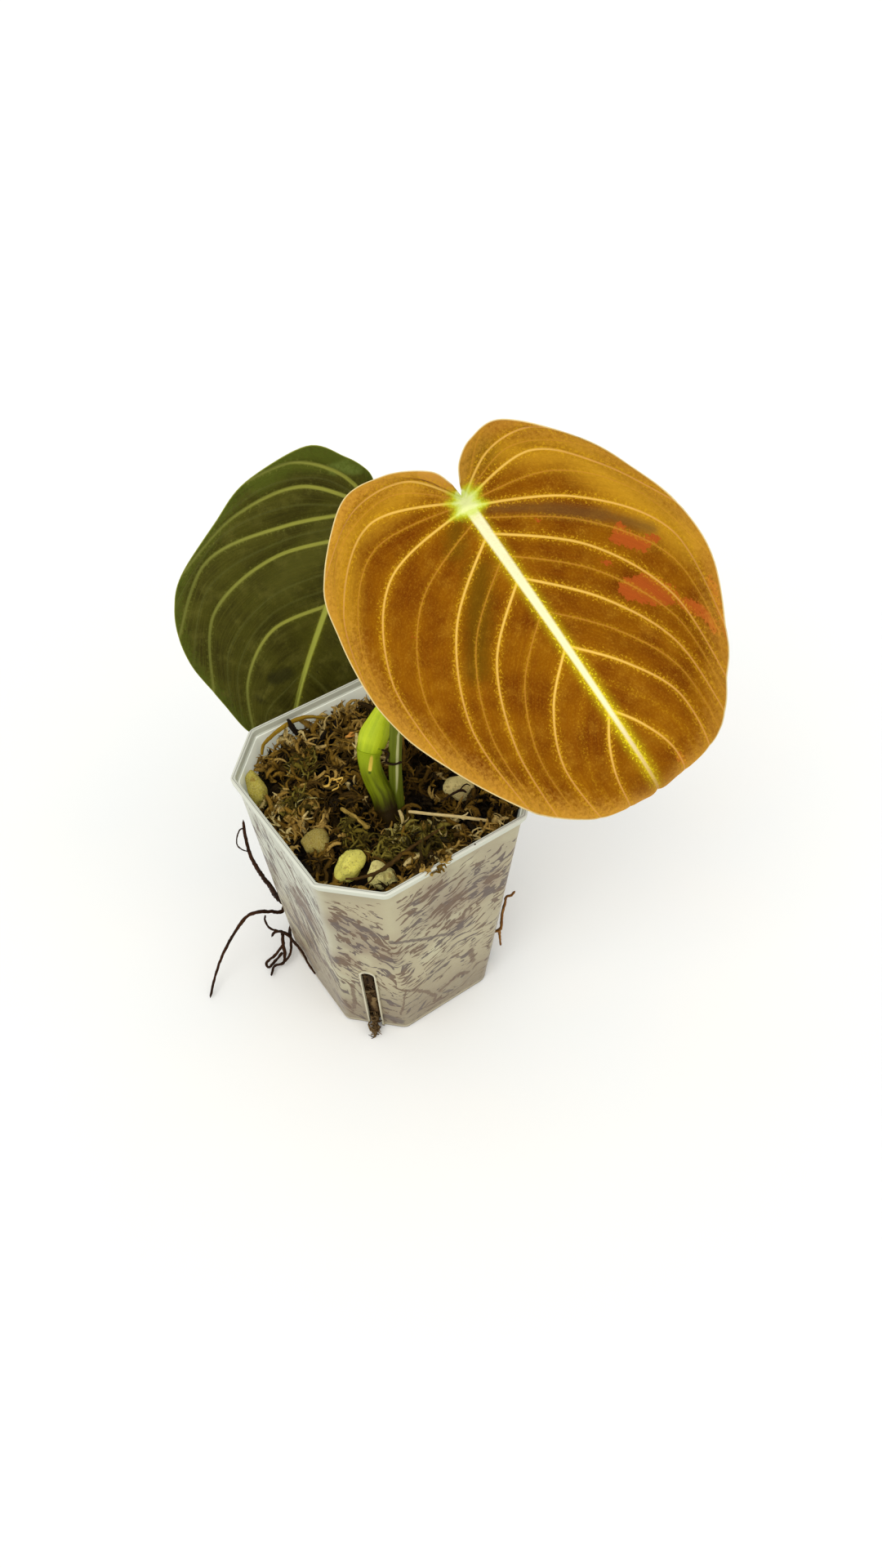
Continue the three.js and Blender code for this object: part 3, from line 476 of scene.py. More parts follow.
backLeaf = {
    "mainVeins": [4, 6, 8, 10, 14], "minorVeins": [5, 7, 9, 12, 13, 15],
    "junction": (-55.2, 34.7, 145), "tip": (-48.4, -13.2, 59.5), "azimuth": -14, "elevation": 12,
    "arch": 0.0028, "lobeFall": 0.004, "curlFrom": 86, "curlRadius": 40, "ribLength": 105, "sway": -4.2,
    "thickness": 0.5, "quilt": 0.75, "ripple": 0.45, "ribHeight": 1.2,
    "columns": 40, "rowCuts": 9,
    "starts": [-3, -2.7, -2.4, -2.1, -1.8, -1.4, -1, -0.4, 0.2, 4.2, 9, 15, 20, 27, 34, 58, 78, 96],
    "left": backHalf,
    "right": [otherHalf(row, index) for index, row in enumerate(backHalf)],
    "tints": {
        "pink": [((57.6, 0.4), (58.2, 0.9), 0.5), ((57.6, 2.6), (57.9, 3.9), 0.35),
                 ((57.2, 5.2), (57.4, 5.6), 0.4), ((57.5, 7.4), (58.4, 7.4), 0.3)],
        "peach": [((-13, -11.6), (-9, -16.5), 1), ((-11, -8.5), (-9, -16), 1.6)],
        "mauve": [((63, -13), (60.5, -9.5), 2.6), ((71, -17), (72, -15), 0.6)],
        "olive": [((-12, -14), (-8, -28), 3.5), ((-8, -28), (2, -36), 3)],
        "gold": [((12, -12), (30, -20), 4)],
    },
}


def nearLine(spots, line):
    # Distance of each spot from a polyline
    best = np.full(len(spots), 1e9)
    for start, end in zip(line[:-1], line[1:]):
        run = end - start
        share = np.clip(((spots - start) @ run) / max(run @ run, 1e-9), 0, 1)
        best = np.minimum(best, np.linalg.norm(spots - start - share[:, None] * run, axis=1))
    return best


def leafPlane(leaf, reach, row):
    # [along, across] of points given by signed reach from the midrib (-1 to 1) and row share
    starts = np.array([[along, 0] for along in leaf["starts"]], float)
    starts[:, 1] = leaf["sway"] * np.sin(np.pi * np.clip(starts[:, 0] / starts[-1, 0], 0, 1))
    begin = splineAt(starts, row)
    halves = {}
    for side in ("left", "right"):
        table = np.array(leaf[side], float)
        halves[side] = splineAt([begin] + [splineAt(table[:, i], row) for i in range(3)], abs(reach))
    return np.where((reach < 0)[:, None], halves["left"], halves["right"])


def leafSheet(leaf, plane):
    # Points and normals of the smooth sheet that the blade follows
    turn, lift = math.radians(leaf["azimuth"]), math.radians(leaf["elevation"])
    origin, tip = (np.array(leaf[key], float) for key in ("junction", "tip"))
    onward = (tip - origin) / np.linalg.norm(tip - origin)
    up = np.array([math.cos(lift) * math.cos(turn), math.cos(lift) * math.sin(turn), math.sin(lift)])
    up -= onward * (up @ onward)
    up /= np.linalg.norm(up)
    sideways = np.cross(up, onward)

    def spotAt(along, across):
        past = np.maximum(0, along - leaf["curlFrom"]) / leaf["curlRadius"]
        forward = along + leaf["curlRadius"] * (np.sin(past) - past)
        height = -leaf["arch"] * across**2 - leaf["lobeFall"] * np.minimum(0, along) ** 2
        height -= leaf["curlRadius"] * (1 - np.cos(past))
        return origin + forward[:, None] * onward + across[:, None] * sideways + height[:, None] * up

    along, across = plane.T
    here, step = spotAt(along, across), 0.05  # a short step both ways gives the slope
    normal = np.cross(spotAt(along + step, across) - here, spotAt(along, across + step) - here)
    return here, normal / np.linalg.norm(normal, axis=1)[:, None]


bladeShape = {
    # How finely a line or the margin is measured, and the distance that stands for far away
    "lineTicks": 40, "marginTicks": 160, "farAway": 30.0, "tintRange": (-4, 12),
    # Relief: how high or deep, and how far it reaches
    "ridgeReach": 1.5, "ribGroove": 0.25, "veinGroove": (0.16, 0.8), "minorGroove": (0.05, 0.5),
    "veinRidge": (0.3, 0.6), "waveScale": 0.09, "fineScale": 0.35, "fineHeight": 0.07, "thinWithin": 0.8,
    "thinnest": 0.35, "heart": (1.6, 3.4), "weld": 0.0005,
}


def veinDistances(leaf, plane, reach, lastRow):
    # Distances in the blade's plane, which the material turns into veins, glow and margins
    shape = bladeShape
    ticks = np.linspace(0, 1, shape["lineTicks"])
    marginTicks = np.linspace(0, 1, shape["marginTicks"])
    values = {}
    for key, rows in (("vein", leaf["mainVeins"]), ("minor", leaf["minorVeins"])):
        values[key] = np.full(len(plane), shape["farAway"])
        for at in rows:
            for side in (-1, 1):
                line = leafPlane(leaf, side * ticks, np.full(len(ticks), at / lastRow))
                same = reach * side >= -1e-6
                values[key][same] = np.minimum(values[key][same], nearLine(plane[same], line))
    values["rib"] = nearLine(plane, leafPlane(leaf, 0 * ticks, ticks))
    margins = [leafPlane(leaf, np.full(len(marginTicks), float(side)), marginTicks) for side in (-1, 1)]
    values["edge"] = np.minimum(*(nearLine(plane, margin) for margin in margins))
    for tint, places in leaf["tints"].items():
        near = [nearLine(plane, np.array([start, end], float)) - half for start, end, half in places]
        values[tint] = np.clip(np.min(near, axis=0), *shape["tintRange"])
    return values


def noiseOver(plane, level, scale):
    return np.array([noise.noise(Vector((a, b, level)) * scale) for a, b in plane])


def makeLeaf(name, leaf, node, material):
    bm = bmesh.new()
    shape = bladeShape
    lastRow = len(leaf["starts"]) - 1
    bmesh.ops.create_grid(bm, x_segments=2 * leaf["columns"], y_segments=lastRow * leaf["rowCuts"], size=1)
    grid = np.array([vert.co[:] for vert in bm.verts])
    reach, share = grid[:, 0], (grid[:, 1] + 1) / 2
    row = share * lastRow
    plane = leafPlane(leaf, reach, share)
    along, across = plane.T
    values = veinDistances(leaf, plane, reach, lastRow)

    # Blade surface: swellings between the veins, a groove on the midrib, a soft wave at the margin
    edges = [0] + leaf["mainVeins"] + [lastRow]
    cell = np.interp(row, edges, range(len(edges))) % 1
    swell = np.sin(np.pi * cell) * np.sin(np.pi * np.clip(abs(reach), 0, 1)) ** 0.8
    wave = noiseOver(plane, 3.1, shape["waveScale"])
    fine = noiseOver(plane, 8.3, shape["fineScale"])
    ridge = hump(values["rib"], shape["ridgeReach"]) * np.clip(1 - along / leaf["ribLength"], 0.1, 1)

    def relief(key, setting):
        amount, width = shape[setting]
        return amount * hump(values[key], width)

    height = leaf["quilt"] * swell - shape["ribGroove"] * ridge - relief("vein", "veinGroove")
    height += leaf["ripple"] * wave * abs(reach) ** 2 + shape["fineHeight"] * fine
    height -= relief("minor", "minorGroove")
    sheet, normal = leafSheet(leaf, plane)
    top = sheet + normal * height[:, None]
    thin = np.clip(values["edge"] / shape["thinWithin"], shape["thinnest"], 1)
    depth = leaf["thickness"] * thin + leaf["ribHeight"] * ridge
    depth += relief("vein", "veinRidge") * (1 - abs(reach))
    swelling, heartReach = shape["heart"]
    depth += swelling * hump(np.hypot(along, across), heartReach)
    lowered = top - normal * depth[:, None]

    layers = {key: bm.verts.layers.float.new(key) for key in values}
    flow = bm.verts.layers.float_vector.new("flow")
    blade = bm.verts.layers.float_vector.new("sheet")
    under = bm.verts.layers.float.new("under")
    order = bm.verts.layers.int.new("order")
    for index, vert in enumerate(bm.verts):
        vert.co = top[index]
        for key, layer in layers.items():
            vert[layer] = values[key][index]
        vert[flow] = (row[index], reach[index], 0)
        vert[blade] = (along[index], across[index], 0)
        vert[order] = index
    for vert in vertsOf(bmesh.ops.extrude_face_region(bm, geom=bm.faces[:], use_keep_orig=True)["geom"]):
        vert.co = lowered[vert[order]]
        vert[under] = 1
    bmesh.ops.remove_doubles(bm, verts=bm.verts, dist=shape["weld"])
    bm.verts.layers.int.remove(order)
    finishPiece(bm, name, material, node, angle=None)


def leafMaterial(name, look):
    made, shader = newMaterial(name, look["roughness"], look["specular"])
    spot, flow = (attribute(key, "Vector") for key in ("sheet", "flow"))
    rib, vein, minor, edge, under = (attribute(key) for key in ("rib", "vein", "minor", "edge", "under"))
    reach = calc("ABSOLUTE", partsOf(flow)[1])
    along, across, _ = partsOf(spot)

    # Ground colour: blotches, streaks that run with the veins, and a fine pale nap
    grain = useGroup(grainGroup, spot, 0.07, 1.7)
    streak = ease(speckle(scaled(flow, (look["streaks"], 3, 1)), 1.0, 4, 0.65), 0.35, 0.65)
    cloud = ease(speckle(spot, 0.16, 4, 0.65), 0.48, 0.72)
    nap = ease(grain["Grain"], 0.5, 0.9) * (cloud * 0.6 + 0.5)
    colour = layered(
        mixed(grain["Blotch"], look["dark"], look["middle"]), (streak * 0.6, look["streak"]),
        (nap * look["nap"], look["light"]), (cloud * look["cloud"], look["light"]),
    )

    # Tinted places with ragged borders, then the margin and the tip
    ragged = speckle(spot, 0.9, 5, 0.7) - 0.5
    for tint, (shade, jag, soft, amount) in look["tints"].items():
        colour = mixed(ease(attribute(tint) + ragged * jag, soft, -soft) * amount, colour, shade)
    lightEdge = ease(edge + ragged * 16.0, look["marginReach"], -1.0)
    side = ease(across, 25.0, -15.0, look["marginFar"], 0.85)
    tip = ease(along, 84.0, 98.0) * look["tipAmount"]
    colour = layered(colour, (lightEdge * side, look["margin"]), (tip, look["margin"]))

    # Each kind of vein with its glow and flecks
    outwards = ease(reach, 0.35, 1.05, 1.0, look["veinEnd"])
    veinWidth = ease(reach, 0.0, 1.0, 1.35, 0.6) * look["veinHalfWidth"]
    veinShade = mixed(ease(reach, 0.15, 0.9), look["vein"], look["veinFar"])
    ribStart, ribEnd = look["ribHalfWidth"]
    ribWidth = wire("ShaderNodeMapRange", {0: along, 1: 0.0, 2: 96.0, 3: ribStart, 4: ribEnd})
    ribShade = mixed(ease(along, 60.0, 92.0), look["rib"], look["ribTip"])
    ribLine, ribFade = ease(along, 102.0, 70.0, 0.35, 1.0), ease(along, 98.0, 70.0)
    softness, glow, fleck, ribGlow = (look[key] for key in ("veinSoftness", "glow", "fleck", "ribGlowShade"))
    # Distance, half width, softness, the line's amount and shade, the glow's reach, amount, fade and shades
    kinds = [
        (minor, look["minorHalfWidth"], softness, outwards * look["minorAmount"], look["minor"],
         2.0, look["minorGlow"], outwards, glow, fleck),
        (vein, veinWidth, softness, outwards * 0.95, veinShade,
         look["glowReach"], look["glowAmount"], outwards, glow, fleck),
        (rib, ribWidth, look["ribSoftness"], ribLine, ribShade,
         look["ribGlow"], look["ribGlowAmount"], ribFade, ribGlow, ribGlow),
    ]
    drawn = []
    for distance, halfWidth, soft, amount, shade, glowReach, glowAmount, fade, glowShade, fleckShade in kinds:
        parts = useGroup(veinGroup, distance, halfWidth, soft, glowReach, spot, look["fleckScale"])
        colour = layered(colour, (parts["Glow"] * 0.8 * glowAmount * fade, glowShade),
                         (parts["Flecks"] * glowAmount * fade, fleckShade), (parts["Line"] * amount, shade))
        drawn.append(parts)
    fine, main, middle = drawn

    # The junction's star, the bright rim and the underside
    heartReach = look["heartReach"]
    star = vectorCalc("LENGTH", spot) - main["Glow"] * (heartReach * 0.5) + ragged * 4.0
    colour = layered(
        colour, (ease(star, heartReach, 0.5, 0.0, 0.9), look["heart"]),
        (ease(star, heartReach * 0.55, -1.0, 0.0, 0.9), look["heartCore"]),
        (ease(edge, look["rimWidth"], 0.1), look["rim"]),
    )
    ribs = highest(main["Line"], middle["Line"])
    underside = layered(look["under"], (ribs, look["underVein"]), (grain["Blotch"] * 0.3, look["middle"]))
    colour = mixed(ease(under, 0.4, 0.6), colour, underside)
    roughness = ease(ribs, 0.0, 1.0, look["roughness"], 0.4)
    feed(shader.inputs, {"Base Color": colour, "Roughness": roughness})
    velvet = speckle(spot, 4.5, 3, 0.7)
    bumped(shader, velvet * 0.6 + streak * 0.5 + fine["Line"] * 0.3, 0.00025, 0.8)
    return made


copperLook = {
    "roughness": 0.65, "specular": 0.03, "streaks": 16, "dark": "#6e3400", "middle": "#945a02",
    "streak": "#864a02", "light": "#bc851c", "nap": 0.4, "cloud": 0.25, "margin": "#d69c36",
    "marginReach": 8.5, "marginFar": 0.5, "tipAmount": 0.8, "vein": "#f6c65c", "veinFar": "#dc9a54",
    "veinHalfWidth": 0.17, "veinSoftness": 0.24, "veinEnd": 0.6, "glow": "#b07a08", "fleck": "#d6a41c",
    "glowReach": 3.2, "glowAmount": 0.65, "fleckScale": 1.5, "minor": "#cc8a34", "minorHalfWidth": 0.1,
    "minorGlow": 0.3, "minorAmount": 0.55, "rib": "#fff8c4", "ribTip": "#e6bc7c",
    "ribHalfWidth": (1.35, 0.05), "ribSoftness": 0.5, "ribGlow": 4.2, "ribGlowAmount": 1.15,
    "ribGlowShade": "#ead61e", "heart": "#d4ea2c", "heartCore": "#fbffb0", "heartReach": 5.4,
    "rim": "#f2dc9c", "rimWidth": 0.5, "under": "#8f5a34", "underVein": "#d9b070", "tints": {
        "gold": ("#d09a22", 5.0, 5.0, 0.8), "mauve": ("#6e4c22", 2.5, 1.6, 0.65),
        "olive": ("#5e4604", 4.0, 3.0, 0.65), "peach": ("#cf8c46", 1.6, 0.25, 0.9),
        "pink": ("#b0521a", 5.6, 0.14, 0.95),
    },
}
greenLook = {
    "roughness": 0.6, "specular": 0.08, "streaks": 10, "dark": "#322e04", "middle": "#48460c",
    "streak": "#504c14", "light": "#706c2c", "nap": 0.2, "cloud": 0.35, "margin": "#4e5814",
    "marginReach": 5.0, "marginFar": 0.85, "tipAmount": 0.2, "vein": "#a4a444", "veinFar": "#7e803a",
    "veinHalfWidth": 0.36, "veinSoftness": 0.42, "veinEnd": 0.6, "glow": "#646618", "fleck": "#7c7e34",
    "glowReach": 2.6, "glowAmount": 0.45, "fleckScale": 1.2, "minor": "#606030", "minorHalfWidth": 0.16,
    "minorGlow": 0.1, "minorAmount": 0.35, "rib": "#b0b44a", "ribTip": "#9ca04c", "ribHalfWidth": (1.0, 0.4),
    "ribSoftness": 0.5, "ribGlow": 3.0, "ribGlowAmount": 0.6, "ribGlowShade": "#808018", "heart": "#9ab038",
    "heartCore": "#b0c04c", "heartReach": 5.0, "rim": "#94983c", "rimWidth": 0.3, "under": "#5f6a38",
    "underVein": "#a8a860", "tints": {
        "gold": ("#605e20", 4.0, 4.0, 0.5), "mauve": ("#26240a", 3.0, 1.5, 0.7),
        "olive": ("#525c14", 3.5, 2.0, 0.6), "peach": ("#76863a", 2.0, 0.8, 0.6),
        "pink": ("#1c1a06", 1.2, 0.2, 0.95),
    },
}
copperSkin, greenSkin = leafMaterial("copperLeafSkin", copperLook), leafMaterial("greenLeafSkin", greenLook)
makeLeaf("copperLeaf", frontLeaf, "leaf_front", copperSkin)
makeLeaf("greenLeaf", backLeaf, "leaf_back", greenSkin)
print("leaves made")

# Nursery pot

potShape = {
    "height": 95, "footHalf": 32, "mouthHalf": 38.7, "footCorner": 15.2, "mouthCorner": 14.3,
    "wall": 0.8, "floor": 1.2, "lip": 1.3, "lipFoot": 91.4, "lipBevel": 0.35, "lipBand": 1.4,
    "mouthStep": 1.2, "mouthInset": 0.1, "cornerRound": 1.5, "roundSteps": 4,
    "slotWidth": 4.5, "slotHeight": 41, "slotFoot": 0.2, "slotSides": 24, "border": 0.8, "proud": 0.4,
    "weld": 0.002,
}
cornerTurns = [math.radians(turn) for turn in (45, 135, 225, 315)]


def wallHalf(z):
    foot, mouth = potShape["footHalf"], potShape["mouthHalf"]
    return foot + (mouth - foot) * z / potShape["height"]


def wallCorner(z):
    foot, mouth = potShape["footCorner"], potShape["mouthCorner"]
    return foot + (mouth - foot) * z / potShape["height"]


def cutFace(z):
    # How far the cut corners' faces are from the middle
    return (2 * wallHalf(z) - wallCorner(z)) / math.sqrt(2)


def potOutline(z, grow):
    # The square with cut corners at a height, grown outwards, its eight corners rounded
    half = wallHalf(z) + grow
    flat = half - wallCorner(z) - grow * (2 - math.sqrt(2))
    signs = [(1, -1), (1, 1), (-1, 1), (-1, -1)]
    corners = []
    for sx, sy in signs:
        pair = [Vector((flat * sx, half * sy)), Vector((half * sx, flat * sy))]
        corners += pair if sx * sy < 0 else pair[::-1]
    steps = potShape["roundSteps"]
    points = []
    for index, corner in enumerate(corners):
        before, after = corners[index - 1], corners[(index + 1) % 8]
        start = corner + (before - corner).normalized() * potShape["cornerRound"]
        end = corner + (after - corner).normalized() * potShape["cornerRound"]
        for t in (i / steps for i in range(steps + 1)):
            points.append(start * (1 - t) ** 2 + corner * 2 * t * (1 - t) + end * t**2)
    return points


def onCut(turn, z, inward=0.0, aside=0.0):
    # A spot on a cut corner's face at a height, moved inward and aside
    face, c, s = cutFace(z) - inward, math.cos(turn), math.sin(turn)
    return (face * s + aside * c, -face * c + aside * s, z)


def extrudeOutline(bm, levels, spots):
    # A closed form that follows the pot's outline through levels of height and growth
    number = bm.verts.layers.int.new("number")
    ring, edges = newRing(bm, spots)
    for index, vert in enumerate(ring):
        vert[number] = index
    bmesh.ops.contextual_create(bm, geom=edges)
    for step, (z, grow) in enumerate(levels):
        if step:
            ring, edges = nextRing(bm, edges)
        outline = potOutline(z, grow)
        for vert in ring:
            vert.co = (*outline[vert[number]], z)
    bmesh.ops.contextual_create(bm, geom=edges)
    bm.verts.layers.int.remove(number)


def slotForms(name, width, top, foot, inner, outer):
    # An upright slot shape with a round top on each cut corner, leaning with its wall
    bm = bmesh.new()
    lean = math.atan2(cutFace(potShape["height"]) - cutFace(0), potShape["height"])
    for turn in cornerTurns:
        disc = {"cap_ends": True, "radius": width / 2, "segments": potShape["slotSides"]}
        made = bmesh.ops.create_circle(bm, **disc)["verts"]
        for vert in made:
            vert.co.y = vert.co.y + top - width / 2 if vert.co.y > -1e-6 else foot
        bmesh.ops.translate(bm, vec=(0, 0, inner), verts=made)
        face = list({face for vert in made for face in vert.link_faces})
        bmesh.ops.reverse_faces(bm, faces=face)
        moved = vertsOf(bmesh.ops.extrude_face_region(bm, geom=face, use_keep_orig=True)["geom"])
        bmesh.ops.translate(bm, vec=(0, 0, outer - inner), verts=moved)
        place = Matrix.Rotation(turn, 4, "Z") @ Matrix.Translation((0, -cutFace(0), 0))
        place = place @ Matrix.Rotation(lean + math.pi / 2, 4, "X")
        bmesh.ops.transform(bm, matrix=place, verts=list(made) + moved)
    bmesh.ops.recalc_face_normals(bm, faces=bm.faces)
    return meshObject(bm, name)


def makePot(material):
    p = potShape
    top, wall, lip, inset = (p[key] for key in ("height", "wall", "lip", "mouthInset"))
    band = p["lipFoot"] + p["lipBevel"]
    levels = [
        (0.5, -5), (0, -4.6), (0, -0.5), (0.35, -0.12), (1, 0), (30, 0), (60, 0), (p["lipFoot"], 0),
        (band, lip / 2), (band + p["lipBand"], lip / 2), (band + p["lipBand"] + p["lipBevel"], lip),
        (top - 0.25, lip), (top, lip - 0.25), (top, 0.1), (top - 0.15, -inset),
        (band + p["mouthStep"], -inset), (p["lipFoot"] + p["mouthStep"], -wall),
        (60, -wall), (30, -wall), (p["floor"] + 0.6, -wall), (p["floor"], -wall - 0.6),
    ]
    bm = bmesh.new()
    extrudeOutline(bm, levels, 8 * (p["roundSteps"] + 1))
    bmesh.ops.recalc_face_normals(bm, faces=bm.faces)
    pot = meshObject(bm, "nurseryPot")
    width, high, border = p["slotWidth"], p["slotHeight"], p["border"]
    foot, proud = p["slotFoot"], p["proud"]
    borders = slotForms("slotBorders", width + 2 * border, high + border, foot, -wall * 0.7, proud)
    holes = slotForms("slotHoles", width, high, -4, -4, 4)
    for tool, operation in ((borders, "UNION"), (holes, "DIFFERENCE")):
        cut = pot.modifiers.new(operation, "BOOLEAN")
        cut.operation = operation
        cut.object = tool
        cut.solver = "EXACT"
    shaped = bpy.data.meshes.new_from_object(pot.evaluated_get(bpy.context.evaluated_depsgraph_get()))
    for tool in (pot, borders, holes):
        bpy.data.objects.remove(tool)
    bm = bmesh.new()
    bm.from_mesh(shaped)
    bmesh.ops.remove_doubles(bm, verts=bm.verts, dist=p["weld"])
    finishPiece(bm, "nurseryPot", material, "pot", angle=28, outward=False)


plasticLook = {
    "wall": "#aca180", "cool": "#9b9175", "warm": "#bcb794", "low": "#7c6b50", "side": "#c2c4b2",
    # The inside's pale shade and its glow are painted light, as light that comes through the clear plastic
    "inside": "#e4e6d8", "insideGlow": "#c8ccba", "rim": "#c8cab8", "step": "#77756a", "ledgeHighlight": "#dcdccc",
    "border": "#c8c2a6", "crowdShade": "#84705a", "brown": "#60462c", "mauve": "#52423a",
    # The dark foot line is a painted shadow where the pot meets the floor
    "footShadow": "#584830", "foot": "#cfc6a4",
    # Lines round the lip: height, reach and shade. The dark step lines are painted shade under the lip's
    # steps, and the pale ledge lines are painted highlights
    "lipLines": ((91.3, 0.35, "step"), (93.0, 0.3, "step"), (92.5, 0.25, "ledgeHighlight"), (94.9, 0.2, "ledgeHighlight")),
    "dashScales": ((0.2, 0.2, 0.6), (0.26, 0.26, 0.34)),  # on the sides, and on the front edge
    # Where fibres crowd behind the wall: middle and reach
    "crowded": [
        ((26, -33.8, 73), 10), ((30.5, -29.6, 68), 9), ((29.5, -28.6, 58), 9), ((34.5, -22.6, 54), 9),
        ((32.5, -25.4, 60), 8), ((23.5, -32.6, 48), 9), ((36.6, -1, 68), 14), ((36.4, 13, 66), 14),
        ((37.6, -8, 82), 8), ((36, 4, 52), 9), ((8, -36, 60), 15), ((0, -35, 34), 16),
        ((-8, -33.4, 16), 12), ((18, -32.5, 12), 8),
    ],
    # Single fibres: spots along them, half width, shade
    "fibres": [
        ([(19.8, -37.8, 82.4), (27.2, -34.4, 85.1), (30.3, -30.8, 81.3), (32, -28.4, 77.4),
          (35.4, -24.7, 75)], 0.3, "brown"),
        ([(36.1, -22.5, 64.7), (36, -11.2, 56.3), (35.4, 0.5, 48.9)], 0.8, "mauve"),
        ([(32.9, -20.9, 33.5), (34, -17.5, 28.8), (33.8, -13.8, 25.3)], 0.6, "brown"),
        ([(34, -17.2, 28.5), (33.4, -18.2, 18.4), (31.8, -18.7, 11.4)], 0.5, "brown"),
        ([(33.7, -13.1, 24), (33.3, -8.6, 18.5), (32.8, -4.8, 11.5), (32.6, -5, 8.3)], 0.7, "brown"),
        ([(32.7, -1.1, 9.8), (32.6, 2.4, 7.8)], 0.8, "mauve"),
        ([(33.4, -12, 8), (32.8, -4, 6)], 0.7, "brown"),
        ([(22.4, -30.9, 29.9), (21.4, -30.2, 18.7), (20, -30.4, 10.7)], 0.8, "brown"),
        ([(30, -22.1, 21.6), (32.2, -19.3, 17.8)], 0.7, "mauve"),
        ([(37.6, -18.2, 79.9), (38.1, -12.2, 86.1)], 0.5, "brown"),
        ([(34.1, 9.2, 29.2), (33.4, 10.8, 20.1)], 1.1, "brown"),
        ([(33.6, -3, 13), (33.4, 5, 17), (33.2, 9, 14)], 1.0, "brown"),
        ([(27.8, -22.4, 8), (31.1, -18.6, 5)], 1.8, "mauve"),
    ],
    # Pale bands: spots along them and half width
    "paleEdges": [
        ([(38.9, -23.8, 90), (37.7, -23.1, 80), (36.6, -22.2, 72)], 1.8),
        ([(24, -38.3, 90), (22.4, -36.9, 70), (20.8, -35.5, 50)], 1.2),
    ],
}


